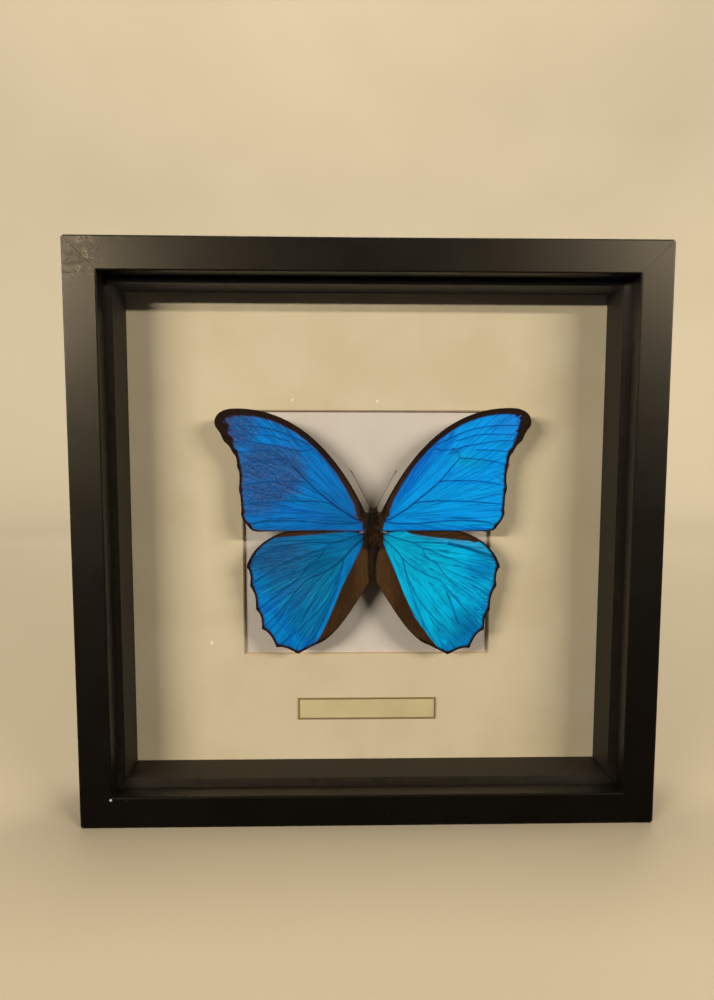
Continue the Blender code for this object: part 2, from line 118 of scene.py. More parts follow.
# ---- node helper -------------------------------------------------------------
class Tree:
    """Builds a material's nodes with short calls; every call returns a socket."""

    def __init__(self, name):
        self.mat = bpy.data.materials.new(name)
        self.mat.use_nodes = True
        self.t = self.mat.node_tree
        self.t.nodes.clear()
        self.out = self.t.nodes.new("ShaderNodeOutputMaterial")
        self._mm = None

    def put(self, socket, value):
        if value is None:
            return
        if isinstance(value, bpy.types.NodeSocket):
            self.t.links.new(value, socket)
        elif isinstance(value, (tuple, list)):
            size = len(socket.default_value)
            value = tuple(value)
            if size == 4 and len(value) == 3:
                value = (*value, 1.0)
            socket.default_value = value
        else:
            socket.default_value = value

    def mm(self):
        """Object coordinates in millimetres."""
        if self._mm is None:
            tc = self.t.nodes.new("ShaderNodeTexCoord")
            vm = self.t.nodes.new("ShaderNodeVectorMath")
            vm.operation = "SCALE"
            self.t.links.new(tc.outputs["Object"], vm.inputs[0])
            vm.inputs["Scale"].default_value = 1000.0
            self._mm = vm.outputs[0]
        return self._mm

    def stretch(self, vec, scale):
        m = self.t.nodes.new("ShaderNodeVectorMath")
        m.operation = "MULTIPLY"
        self.put(m.inputs[0], vec)
        m.inputs[1].default_value = scale
        return m.outputs[0]

    def xyz(self, vec):
        s = self.t.nodes.new("ShaderNodeSeparateXYZ")
        self.put(s.inputs[0], vec)
        return s.outputs[0], s.outputs[1], s.outputs[2]

    def vec(self, x, y, z):
        s = self.t.nodes.new("ShaderNodeCombineXYZ")
        for i, v in enumerate((x, y, z)):
            self.put(s.inputs[i], v)
        return s.outputs[0]

    def m(self, op, a, b=None, c=None, clamp=False):
        nd = self.t.nodes.new("ShaderNodeMath")
        nd.operation = op
        nd.use_clamp = clamp
        for i, v in enumerate((a, b, c)):
            self.put(nd.inputs[i], v)
        return nd.outputs[0]

    def smooth(self, value, lo, hi, a=0.0, b=1.0):
        """Value from lo to hi becomes a to b, eased and clamped."""
        nd = self.t.nodes.new("ShaderNodeMapRange")
        nd.interpolation_type = "SMOOTHSTEP"
        self.put(nd.inputs["Value"], value)
        self.put(nd.inputs["From Min"], lo)
        self.put(nd.inputs["From Max"], hi)
        self.put(nd.inputs["To Min"], a)
        self.put(nd.inputs["To Max"], b)
        return nd.outputs[0]

    def noise(self, vec, scale, detail=3.0, rough=0.5, distort=0.0):
        nd = self.t.nodes.new("ShaderNodeTexNoise")
        self.put(nd.inputs["Vector"], vec)
        nd.inputs["Scale"].default_value = scale
        nd.inputs["Detail"].default_value = detail
        nd.inputs["Roughness"].default_value = rough
        nd.inputs["Distortion"].default_value = distort
        return nd.outputs["Fac"]

    def voronoi(self, vec, scale, feature="F1", out="Distance"):
        nd = self.t.nodes.new("ShaderNodeTexVoronoi")
        nd.feature = feature
        self.put(nd.inputs["Vector"], vec)
        nd.inputs["Scale"].default_value = scale
        return nd.outputs[out]

    def attr(self, name):
        nd = self.t.nodes.new("ShaderNodeAttribute")
        nd.attribute_name = name
        return nd.outputs["Fac"]

    def mix(self, fac, a, b, blend="MIX"):
        nd = self.t.nodes.new("ShaderNodeMix")
        nd.data_type = "RGBA"
        nd.blend_type = blend
        nd.clamp_factor = True
        self.put(nd.inputs[0], fac)
        self.put(nd.inputs[6], a)
        self.put(nd.inputs[7], b)
        return nd.outputs[2]

    def bump(self, height, strength, distance, normal=None):
        nd = self.t.nodes.new("ShaderNodeBump")
        self.put(nd.inputs["Height"], height)
        nd.inputs["Strength"].default_value = strength
        nd.inputs["Distance"].default_value = distance
        if normal is not None:
            self.put(nd.inputs["Normal"], normal)
        return nd.outputs[0]

    def principled(self, colour, rough, metallic=0.0, spec=0.5, normal=None, **more):
        p = self.t.nodes.new("ShaderNodeBsdfPrincipled")
        self.put(p.inputs["Base Color"], colour)
        self.put(p.inputs["Roughness"], rough)
        self.put(p.inputs["Metallic"], metallic)
        p.inputs["Specular IOR Level"].default_value = spec
        if normal is not None:
            self.put(p.inputs["Normal"], normal)
        for k, v in more.items():
            self.put(p.inputs[k], v)
        self.t.links.new(p.outputs[0], self.out.inputs["Surface"])
        return p


def dress(names, mat):
    for n in names:
        o = NODES[n]
        if not o.data.materials:
            o.data.materials.append(mat)
        for i in range(len(o.data.materials)):
            o.data.materials[i] = mat


# ---- materials of the frame and what is in it --------------------------------
def frame_paint():
    """Satin black paint: sprayed grain, a little dust, scuffs on the corners."""
    t = Tree("satin_black_paint")
    mm = t.mm()
    x, y, z = t.xyz(mm)
    cloud = t.noise(mm, 0.05, 4, 0.6)
    fine = t.noise(mm, 2.6, 4, 0.65)
    streak = t.noise(t.stretch(mm, (0.06, 1.0, 0.06)), 1.1, 5, 0.7)
    base = t.mix(t.smooth(cloud, 0.35, 0.7), srgb(9, 7, 5), srgb(12, 10, 7))
    base = t.mix(t.smooth(fine, 0.5, 0.8, 0.0, 0.12), base, srgb(24, 20, 15))
    # rubbed patch on the upper left corner, with a few pale nicks
    dx, dz = t.m("ADD", x, 118.0), t.m("SUBTRACT", z, 241.0)
    far = t.m("SQRT", t.m("ADD", t.m("MULTIPLY", dx, dx), t.m("MULTIPLY", dz, dz)))
    near = t.smooth(far, 2.0, 15.0, 1.0, 0.0)
    rub = t.noise(t.stretch(mm, (0.9, 0.9, 1.5)), 0.33, 6, 0.72, 1.2)
    scuff = t.m("MULTIPLY", near, t.smooth(rub, 0.50, 0.66), clamp=True)
    base = t.mix(t.m("MULTIPLY", scuff, 0.55), base, srgb(92, 84, 66))
    chips = t.voronoi(t.stretch(mm, (1.0, 0.6, 1.3)), 0.33)
    nick = t.m("MULTIPLY", near, t.smooth(chips, 0.10, 0.17, 1.0, 0.0), clamp=True)
    base = t.mix(t.m("MULTIPLY", nick, 0.7), base, srgb(116, 106, 84))
    marks = t.smooth(t.noise(mm, 1.5, 5, 0.75), 0.47, 0.60)
    for px, pz, rx, rz, k in ((-116.2, 248.0, 6.5, 1.9, 0.55), (-115.0, 242.4, 2.0, 3.0, 0.8), (-118.2, 236.8, 1.8, 2.0, 0.5)):
        ex, ez = t.m("DIVIDE", t.m("SUBTRACT", x, px), rx), t.m("DIVIDE", t.m("SUBTRACT", z, pz), rz)
        off = t.m("SQRT", t.m("ADD", t.m("MULTIPLY", ex, ex), t.m("MULTIPLY", ez, ez)))
        hit = t.m("MULTIPLY", t.smooth(off, 0.3, 1.1, 1.0, 0.0), marks, clamp=True)
        base = t.mix(t.m("MULTIPLY", hit, k), base, srgb(150, 138, 106))
    # one white chip at the lower left inner corner
    cx, cz = t.m("ADD", x, 111.6), t.m("SUBTRACT", z, 12.9)
    cd = t.m("SQRT", t.m("ADD", t.m("MULTIPLY", cx, cx), t.m("MULTIPLY", cz, cz)))
    chip = t.smooth(t.m("ADD", cd, t.m("MULTIPLY", fine, 0.7)), 0.75, 1.05, 1.0, 0.0)
    base = t.mix(t.m("MULTIPLY", chip, t.smooth(y, -20.5, -19.0, 1.0, 0.0)), base, srgb(196, 188, 170))
    # dust
    dust = t.smooth(t.voronoi(mm, 0.42), 0.035, 0.06, 1.0, 0.0)
    keep = t.smooth(t.noise(mm, 0.11, 2), 0.52, 0.62)
    base = t.mix(t.m("MULTIPLY", t.m("MULTIPLY", dust, keep), 0.5), base, srgb(120, 113, 98))
    # wear along the eased edges
    out_x = t.m("SUBTRACT", 125.0, t.m("ABSOLUTE", x))
    out_z = t.m("SUBTRACT", 125.0, t.m("ABSOLUTE", t.m("SUBTRACT", z, 125.0)))
    arris = t.m("MAXIMUM", t.m("MINIMUM", out_x, out_z), t.m("ADD", y, 22.5))
    worn = t.m("MULTIPLY", t.smooth(arris, 0.35, 1.0, 1.0, 0.0), t.smooth(t.noise(mm, 0.5, 5, 0.7), 0.48, 0.66))
    base = t.mix(t.m("MULTIPLY", worn, 0.5), base, srgb(84, 76, 62))
    rough = t.m("ADD", t.smooth(streak, 0.3, 0.75, 0.325, 0.365), t.m("MULTIPLY", scuff, 0.2))
    peel = t.noise(mm, 0.9, 3, 0.5)
    n1 = t.bump(peel, 0.06, 0.0002)
    n2 = t.bump(t.noise(mm, 5.5, 3, 0.5), 0.06, 0.00006, n1)
    n3 = t.bump(t.m("MULTIPLY", scuff, t.noise(mm, 3.0, 4, 0.7)), 0.22, 0.0003, n2)
    t.principled(base, rough, spec=0.35, normal=n3, **{"Specular Tint": (1.0, 0.82, 0.56, 1.0)})
    return t.mat


def spacer_paint():
    t = Tree("matt_black_strip")
    mm = t.mm()
    grain = t.noise(t.stretch(mm, (0.25, 1.0, 0.25)), 1.6, 5, 0.68)
    base = t.mix(t.smooth(grain, 0.32, 0.74), srgb(24, 19, 13), srgb(40, 33, 24))
    lint = t.smooth(t.voronoi(mm, 0.5), 0.03, 0.055, 1.0, 0.0)
    lint = t.m("MULTIPLY", lint, t.smooth(t.noise(mm, 0.09, 2), 0.54, 0.64))
    base = t.mix(t.m("MULTIPLY", lint, 0.5), base, srgb(110, 102, 88))
    n = t.bump(t.noise(mm, 4.0, 4, 0.62), 0.2, 0.0002)
    t.principled(base, t.smooth(grain, 0.3, 0.7, 0.5, 0.66), spec=0.35, normal=n, **{"Specular Tint": (1.0, 0.87, 0.66, 1.0)})
    return t.mat


def glass():
    """Thin clear pane: straight through, with a mirror share that grows at a grazing angle."""
    t = Tree("clear_glass")
    mm = t.mm()
    slant = t.t.nodes.new("ShaderNodeLayerWeight")
    slant.inputs["Blend"].default_value = 0.5
    share = t.m("MULTIPLY_ADD", t.m("POWER", slant.outputs["Facing"], 5.0), 0.96, 0.035)
    clear = t.t.nodes.new("ShaderNodeBsdfTransparent")
    clear.inputs["Color"].default_value = (0.985, 0.99, 0.985, 1.0)
    gloss = t.t.nodes.new("ShaderNodeBsdfGlossy")
    gloss.inputs["Color"].default_value = (1, 1, 1, 1)
    smear = t.noise(t.stretch(mm, (1.0, 1.0, 0.45)), 0.045, 5, 0.62, 0.8)
    t.put(gloss.inputs["Roughness"], t.smooth(smear, 0.4, 0.75, 0.012, 0.045))
    mix = t.t.nodes.new("ShaderNodeMixShader")
    t.put(mix.inputs[0], share)
    t.t.links.new(clear.outputs[0], mix.inputs[1])
    t.t.links.new(gloss.outputs[0], mix.inputs[2])
    t.t.links.new(mix.outputs[0], t.out.inputs["Surface"])
    return t.mat


def board(name, a, b, tooth=0.25, tint=None):
    """Uncoated board: mottled pulp, fine fibres and tooth."""
    t = Tree(name)
    mm = t.mm()
    x, y, z = t.xyz(mm)
    mottle = t.noise(mm, 0.028, 5, 0.58)
    base = t.mix(t.smooth(mottle, 0.3, 0.72), a, b)
    pulp = t.noise(mm, 1.4, 5, 0.7)
    base = t.mix(t.smooth(pulp, 0.35, 0.8, 0.0, 0.10), base, tuple(c * 0.80 for c in a))
    fibre = t.noise(t.stretch(mm, (0.35, 1.0, 2.2)), 1.7, 3, 0.6, 1.5)
    base = t.mix(t.smooth(fibre, 0.62, 0.78, 0.0, 0.10), base, tuple(min(1.0, c * 1.22) for c in b))
    if tint:
        base = tint(t, base, x, y, z, mm)
    n = t.bump(t.noise(mm, 3.2, 5, 0.68), tooth, 0.00018)
    t.principled(base, t.smooth(pulp, 0.3, 0.7, 0.78, 0.92), spec=0.22, normal=n)
    return t.mat


def specks(points):
    """Fixed dust specks on a board: (x, z, size, colour) in world millimetres."""
    def tint(t, base, x, y, z, mm):
        wob = t.noise(mm, 1.1, 2)
        for px, pz, size, colour in points:
            a, b = t.m("SUBTRACT", x, px), t.m("SUBTRACT", z, pz)
            d = t.m("SQRT", t.m("ADD", t.m("MULTIPLY", a, a), t.m("MULTIPLY", b, b)))
            d = t.m("ADD", d, t.m("MULTIPLY", t.m("SUBTRACT", wob, 0.5), size * 1.4))
            base = t.mix(t.smooth(d, size * 0.55, size, 0.85, 0.0), base, colour)
        return base
    return tint


def label_paper():
    """Cream label paper with one printed line round its edge and nothing inside."""
    t = Tree("label_paper")
    mm = t.mm()
    x, y, z = t.xyz(mm)
    lo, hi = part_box("specimen_label")
    cx, cz = (lo.x + hi.x) * 500, (lo.z + hi.z) * 500
    hx, hz = (hi.x - lo.x) * 500, (hi.z - lo.z) * 500
    ax = t.m("SUBTRACT", hx, t.m("ABSOLUTE", t.m("SUBTRACT", x, cx)))
    az = t.m("SUBTRACT", hz, t.m("ABSOLUTE", t.m("SUBTRACT", z, cz)))
    edge = t.m("MINIMUM", ax, az)
    ink = t.noise(mm, 1.8, 4, 0.6)
    edge = t.m("ADD", edge, t.m("MULTIPLY", t.m("SUBTRACT", ink, 0.5), 0.14))
    line = t.m("MULTIPLY", t.smooth(edge, 0.86, 1.0, 1.0, 0.0), t.smooth(edge, 0.03, 0.12))
    base = t.mix(t.smooth(t.noise(mm, 0.07, 4), 0.3, 0.7), srgb(207, 188, 140), srgb(196, 178, 134))
    base = t.mix(t.smooth(t.noise(mm, 2.2, 5, 0.7), 0.4, 0.8, 0.0, 0.12), base, srgb(160, 140, 100))
    base = t.mix(t.m("MULTIPLY", line, t.smooth(ink, 0.25, 0.6, 0.80, 0.95)), base, srgb(116, 94, 58))
    n = t.bump(t.noise(mm, 3.6, 4, 0.65), 0.2, 0.00012)
    t.principled(base, t.smooth(ink, 0.3, 0.7, 0.62, 0.76), spec=0.3, normal=n)
    return t.mat


def hardboard():
    """Pressed fibre board, smooth side out: brown flakes and fine fibres."""
    t = Tree("pressed_hardboard")
    mm = t.mm()
    flake = t.noise(t.stretch(mm, (1.0, 1.0, 0.7)), 0.55, 6, 0.72, 2.2)
    base = t.mix(t.smooth(flake, 0.3, 0.7), srgb(122, 88, 58), srgb(152, 115, 80))
    hair = t.noise(t.stretch(mm, (0.5, 1.0, 2.6)), 1.2, 4, 0.7, 3.0)
    base = t.mix(t.smooth(hair, 0.56, 0.70, 0.0, 0.6), base, srgb(86, 58, 36))
    base = t.mix(t.smooth(t.noise(mm, 0.02, 4), 0.4, 0.7, 0.0, 0.35), base, srgb(108, 76, 50))
    n = t.bump(hair, 0.25, 0.0002)
    t.principled(base, t.smooth(flake, 0.3, 0.7, 0.5, 0.68), spec=0.35, normal=n)
    return t.mat


def zinc():
    """Zinc-plated steel strip: rolled grain, faint spangle and tarnish."""
    t = Tree("zinc_plate")
    mm = t.mm()
    roll = t.noise(t.stretch(mm, (0.25, 3.0, 3.0)), 1.9, 4, 0.6)
    spangle = t.voronoi(mm, 0.7, "F1", "Color")
    sx, sy, sz = t.xyz(spangle)
    base = t.mix(t.smooth(sx, 0.0, 1.0), (0.50, 0.49, 0.46), (0.64, 0.63, 0.61))
    tarnish = t.noise(mm, 0.5, 5, 0.7)
    base = t.mix(t.smooth(tarnish, 0.55, 0.75, 0.0, 0.6), base, (0.24, 0.21, 0.17))
    n = t.bump(roll, 0.15, 0.0001)
    t.principled(base, t.smooth(roll, 0.3, 0.7, 0.28, 0.46), metallic=1.0, normal=n)
    return t.mat


def foam():
    t = Tree("closed_cell_foam")
    mm = t.mm()
    cell = t.voronoi(mm, 2.4)
    base = t.mix(t.smooth(cell, 0.1, 0.55), srgb(176, 172, 158), srgb(222, 219, 208))
    base = t.mix(t.smooth(t.noise(mm, 0.3, 4), 0.45, 0.7, 0.0, 0.3), base, srgb(196, 186, 160))
    n = t.bump(cell, 0.5, 0.0003)
    t.principled(base, 0.88, spec=0.2, normal=n)
    return t.mat


dress(["frame_rail_" + s for s in ("top", "bottom", "left", "right")], frame_paint())
dress(["spacer_" + s for s in ("top", "bottom", "left", "right")], spacer_paint())
dress(["glass_pane"], glass())
MAT_SPECKS = specks([
    (4.3, 185.4, 0.75, srgb(246, 238, 214)), (-34.3, 185.8, 0.85, srgb(236, 224, 192)),
    (-72.7, 73.1, 1.05, srgb(248, 236, 208)), (33.0, 186.0, 0.22, srgb(150, 126, 84)),
    (74.0, 92.0, 0.25, srgb(148, 124, 82)), (-62.0, 122.0, 0.22, srgb(152, 128, 88))])


def mat_tint(t, base, x, y, z, mm):
    """Brown core on the cut faces of the window, and dust specks."""
    geo = t.t.nodes.new("ShaderNodeNewGeometry")
    nx, ny, nz = t.xyz(geo.outputs["True Normal"])
    cut = t.smooth(t.m("ABSOLUTE", ny), 0.75, 0.90, 1.0, 0.0)
    fibre = t.noise(t.stretch(mm, (1.0, 3.5, 1.0)), 1.6, 4, 0.7)
    base = t.mix(cut, base, t.mix(t.smooth(fibre, 0.3, 0.7), srgb(190, 163, 124), srgb(212, 188, 150)))
    return MAT_SPECKS(t, base, x, y, z, mm)


def build_mat():
    """Sand-coloured mat: a board with a square window whose front arris is eased."""
    lo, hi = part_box("mat_board")
    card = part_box("window_card")[0].y
    cx, cz = (lo.x + hi.x) / 2, (lo.z + hi.z) / 2
    hx, hz = (hi.x - lo.x) / 2, (hi.z - lo.z) / 2
    # the window isn't cut quite square: its half sizes to the left, right, bottom and top
    w = [WINDOW / 2000.0 + e for e in (0.0013, 0.0009, 0.0014, 0.0)]
    board_half = (hx, hx, hz, hz)
    loops = []                               # (left, right, bottom, top, depth) of square rings
    for e, d in ((0.0, 0.00025), (0.0001, 0.0)):
        loops.append([h - e for h in board_half] + [lo.y + d])
    for k in (0.82, 0.64):
        loops.append([a + (h - a) * k for a, h in zip(w, board_half)] + [lo.y])
    for out, d in ((0.00040, 0.0), (0.00030, 0.00004), (-0.00028, 0.00062)):
        loops.append([a + out for a in w] + [lo.y + d])
    loops.append([a - 0.0003 for a in w] + [card - 0.00003])
    loops.append([a + 0.004 for a in w] + [card - 0.00003])
    loops.append([a + 0.0042 for a in w] + [hi.y])
    loops.append(list(board_half) + [hi.y])
    n = 4 * 12
    verts, faces = [], []
    for left, right_, low, top, y in loops:
        for i in range(n):
            t = (i % 12) / 12.0
            q = i // 12
            x, z = [(t, 0), (1, t), (1 - t, 1), (0, 1 - t)][q]
            verts.append((cx - left + (left + right_) * x, y, cz - low + (low + top) * z))
    m = len(loops)
    for i in range(m):
        for j in range(n):
            k, p = (j + 1) % n, (i + 1) % m
            faces.append((i * n + j, i * n + k, p * n + k, p * n + j))
    mesh = bpy.data.meshes.new("mat_board_cut")
    mesh.from_pydata(verts, [], faces)
    mesh.update()
    obj = bpy.data.objects.new("mat_board_cut", mesh)
    bpy.context.scene.collection.objects.link(obj)
    mesh.materials.append(board("sand_mat_board", srgb(214, 196, 163), srgb(205, 186, 151), 0.28, mat_tint))
    return obj



dress(["window_card"], board("pale_window_card", srgb(212, 199, 186), srgb(205, 191, 177), 0.2))
dress(["specimen_label"], label_paper())
dress(["mounting_block"], foam())
dress(["backing_board"], hardboard())
dress(["sawtooth_hanger", "hanger_rivet_left", "hanger_rivet_right"]
      + ["retaining_tab_%s_%d" % (s, i) for s in ("top", "bottom", "left", "right") for i in (1, 2)], zinc())


# ---- wing outlines, the same rules as the CAD --------------------------------
def bezier(p0, p1, p2, p3, n):
    out = []
    for i in range(n):
        t = i / n
        a, b, c, d = (1 - t) ** 3, 3 * t * (1 - t) ** 2, 3 * t * t * (1 - t), t ** 3
        out.append((a * p0[0] + b * p1[0] + c * p2[0] + d * p3[0],
                    a * p0[1] + b * p1[1] + c * p2[1] + d * p3[1]))
    return out


def bays(ends, depths, n):
    """Margin between vein ends: each bay is deepest just past its first tip."""
    out = []
    for (ax, ay), (bx, by), depth in zip(ends, ends[1:], depths):
        length = math.hypot(bx - ax, by - ay)
        nx, ny = (by - ay) / length, -(bx - ax) / length
        for i in range(n):
            t = i / n
            cut = depth * math.sin(math.pi * t ** 0.72) ** 0.8
            out.append((ax + (bx - ax) * t + nx * cut, ay + (by - ay) * t + ny * cut))
    return out


def outline(kind):
    """Closed outline and a station number at each point, for widths along it."""
    if kind == "fore":
        runs = [bezier(FORE_ROOT, *FORE_COSTA, 56), bezier(FORE_COSTA[-1], *FORE_APEX, 20),
                bays((FORE_APEX[-1],) + FORE_VEIN_ENDS + (FORE_TORNUS,), FORE_BAYS, 14),
                bezier(FORE_TORNUS, *FORE_INNER, 26) + [FORE_INNER[-1]]]
        spans = [1, 1, 7, 1]
    else:
        runs = [bezier(HIND_ROOT, *HIND_COSTA, 48),
                bays((HIND_COSTA[-1],) + HIND_VEIN_ENDS, HIND_BAYS, 14),
                bezier(HIND_VEIN_ENDS[-1], *HIND_INNER[:2], (1.6, -21.0), 26),
                bezier((1.6, -21.0), *HIND_FOLD, 12) + [HIND_FOLD[-1]]]
        spans = [1, 6, 1, 1]
    pts, station, at = [], [], 0.0
    for run, span in zip(runs, spans):
        for i, p in enumerate(run):
            pts.append(p)
            station.append(at + span * i / len(run))
        at += span
    return np.array(pts), np.array(station)


def resample(pts, station, n):
    """n points spaced evenly round the closed outline."""
    loop = np.vstack([pts, pts[:1]])
    st = np.append(station, station[-1] + 0.02)
    d = np.concatenate([[0], np.cumsum(np.hypot(*np.diff(loop, axis=0).T))])
    s = np.linspace(0, d[-1], n, endpoint=False)
    out = np.stack([np.interp(s, d, loop[:, 0]), np.interp(s, d, loop[:, 1])], 1)
    for _ in range(2):                       # round the tips a little
        out = 0.5 * out + 0.25 * (np.roll(out, 1, 0) + np.roll(out, -1, 0))
    return out, np.interp(s, d, st)


def poly_distance(u, v, line):
    """Distance to a polyline, and how far along it (0 to 1) the nearest point is."""
    line = np.asarray(line, float)
    seg = np.hypot(*np.diff(line, axis=0).T)
    total, at = seg.sum(), 0.0
    best, along = np.full(u.shape, 1e9), np.zeros(u.shape)
    for (ax, ay), (bx, by), ln in zip(line, line[1:], seg):
        dx, dy = bx - ax, by - ay
        t = np.clip(((u - ax) * dx + (v - ay) * dy) / max(ln * ln, 1e-9), 0, 1)
        d = np.hypot(u - ax - t * dx, v - ay - t * dy)
        near = d < best
        best, along = np.where(near, d, best), np.where(near, (at + t * ln) / total, along)
        at += ln
    return best, along


def smoothstep(x, lo, hi):
    t = np.clip((x - lo) / (hi - lo), 0, 1)
    return t * t * (3 - 2 * t)


def blob(u, v, cx, cy, rx, ry, turn=0.0, soft=0.5):
    """A soft ellipse: 1 inside, 0 outside."""
    a = math.radians(turn)
    x, y = (u - cx) * math.cos(a) + (v - cy) * math.sin(a), -(u - cx) * math.sin(a) + (v - cy) * math.cos(a)
    return 1 - smoothstep(np.hypot(x / rx, y / ry), 1 - soft, 1 + soft)


def stroke(u, v, line, width, soft):
    """A soft band along a polyline."""
    return 1 - smoothstep(poly_distance(u, v, line)[0], width - soft, width + soft)


def curve_through(points, step):
    """A smooth (Catmull-Rom) line through the points."""
    p = np.asarray(points, float)
    if len(p) == 2:
        n = max(2, int(np.hypot(*(p[1] - p[0])) / step))
        t = np.linspace(0, 1, n + 1)[:, None]
        return p[0] * (1 - t) + p[1] * t
    ext = np.vstack([2 * p[0] - p[1], p, 2 * p[-1] - p[-2]])
    out = []
    for i in range(1, len(ext) - 2):
        a, b, c, d = ext[i - 1], ext[i], ext[i + 1], ext[i + 2]
        n = max(2, int(np.hypot(*(c - b)) / step))
        for j in range(n):
            t = j / n
            out.append(0.5 * (2 * b + (c - a) * t + (2 * a - 5 * b + 4 * c - d) * t * t
                              + (3 * b - a - 3 * c + d) * t ** 3))
    out.append(p[-1])
    return np.array(out)


# Veins, as points outward from the body axis and up from the middle of the
# frame: (points, width at the start, width at the end, darkness class).
FORE_VEINS = {
    "cubital": ([(4.6, 8.6), (7.2, 7.6), (18.4, 15.1), (29.2, 24.6), (33.1, 29.0), (38.2, 34.9)], 0.62, 0.34),
    "m3": ([(29.2, 24.6), (35.7, 24.9), (48.1, 24.6), (59.9, 22.4)], 0.32, 0.20),
    "cua": ([(18.4, 15.1), (25.8, 15.8), (38.3, 15.8), (50.8, 15.1), (59.0, 14.2)], 0.34, 0.22),
    "m2": ([(38.2, 34.9), (45.4, 34.5), (52.9, 33.5), (60.6, 31.8)], 0.34, 0.20),
    "r45": ([(27.0, 39.6), (30.0, 38.4), (35.9, 38.9), (42.8, 40.6), (47.8, 41.4), (56.7, 42.6), (65.2, 42.2)], 0.32, 0.20),
    "r3": ([(28.0, 40.8), (32.9, 43.3), (40.3, 46.5), (47.7, 48.5), (55.1, 49.2), (66.5, 49.4)], 0.34, 0.22),
    "r4": ([(36.6, 42.5), (41.7, 43.9), (45.3, 45.0), (52.7, 45.5), (65.4, 45.2)], 0.26, 0.18),
    "m1": ([(45.5, 38.6), (52.8, 38.4), (57.8, 37.9), (62.2, 37.4)], 0.26, 0.18),
    "radial": ([(5.0, 10.0), (11.5, 21.0), (19.0, 31.5), (27.0, 39.6)], 0.40, 0.30),
    "2a": ([(5.2, 6.9), (7.5, 6.1), (18.4, 5.7), (28.4, 6.6), (38.4, 7.1), (48.4, 6.8), (55.6, 4.8)], 0.42, 0.22),
}
HIND_VEINS = {
    "rs": ([(4.4, 0.9), (6.7, 0.4), (12.7, -1.6), (18.2, -3.0), (25.2, -2.9), (31.4, -3.2), (40.2, -4.4), (48.6, -7.2), (56.6, -12.0)], 0.46, 0.24),
    "m1": ([(18.2, -3.0), (21.9, -5.2), (27.8, -7.4), (34.0, -9.9), (43.7, -14.0), (56.0, -22.6)], 0.32, 0.20),
    "m2": ([(22.5, -5.6), (22.9, -8.1), (25.3, -10.7), (28.7, -12.6), (32.9, -18.3), (40.5, -24.4), (52.6, -33.8)], 0.30, 0.20),
    "cell": ([(4.6, -1.2), (6.9, -3.1), (9.9, -6.0), (13.2, -9.8), (17.4, -13.6), (24.6, -17.8), (29.6, -19.9), (34.7, -25.0), (42.0, -34.0), (50.4, -42.6)], 0.50, 0.22),
    "cu1": ([(13.2, -9.8), (14.5, -15.2), (16.2, -19.9), (21.3, -30.1), (32.0, -41.5), (43.6, -51.0)], 0.34, 0.20),
    "cu2": ([(14.5, -15.2), (16.9, -24.2), (21.5, -36.0), (27.0, -46.5), (33.6, -54.0)], 0.30, 0.20),
    "anal": ([(4.4, -3.2), (8.0, -11.5), (12.0, -21.5), (16.0, -32.5), (23.4, -48.6)], 0.34, 0.20),
}
CENTRE = {"fore": (6.2, 8.4), "hind": (5.2, -1.8)}


def rim_width(kind, station, side):
    """Width of the dark border along the outline, in mm."""
    if kind == "fore":
        st = [0, 0.08, 0.3, 0.7, 0.9, 1.0, 1.4, 1.8, 2.0, 2.6, 3.0, 3.5, 4.0, 5, 6, 7, 8, 9, 9.2, 10.1]
        w = [3.6, 2.5, 2.2, 2.35, 2.5, 2.7, 3.9, 4.9, 4.6, 3.2, 2.7, 1.5, 1.5, 1.15, 1.0, 0.95, 0.9, 0.55, 0.1, 0.1]
        if side < 0:
            w = [a * (1.12 if i < 12 else 1.0) for i, a in enumerate(w)]
    else:
        st = [0, 0.2, 0.5, 0.8, 1.0, 2, 3, 4, 5, 6, 7, 7.2, 8, 9.1]
        w = [0.9, 0.8, 0.7, 0.8, 1.0, 0.95, 0.95, 0.95, 1.0, 1.0, 0.9, 0.22, 0.22, 0.22]
    out = np.interp(station, st, w)
    # the border runs a little way in along each vein
    first, last = (2.5, 8.6) if kind == "fore" else (0.8, 7.2)
    tip = np.abs(station - np.round(station))
    return out + np.where((station > first) & (station < last), 0.55 * np.exp(-(tip / 0.10) ** 2), 0.0)


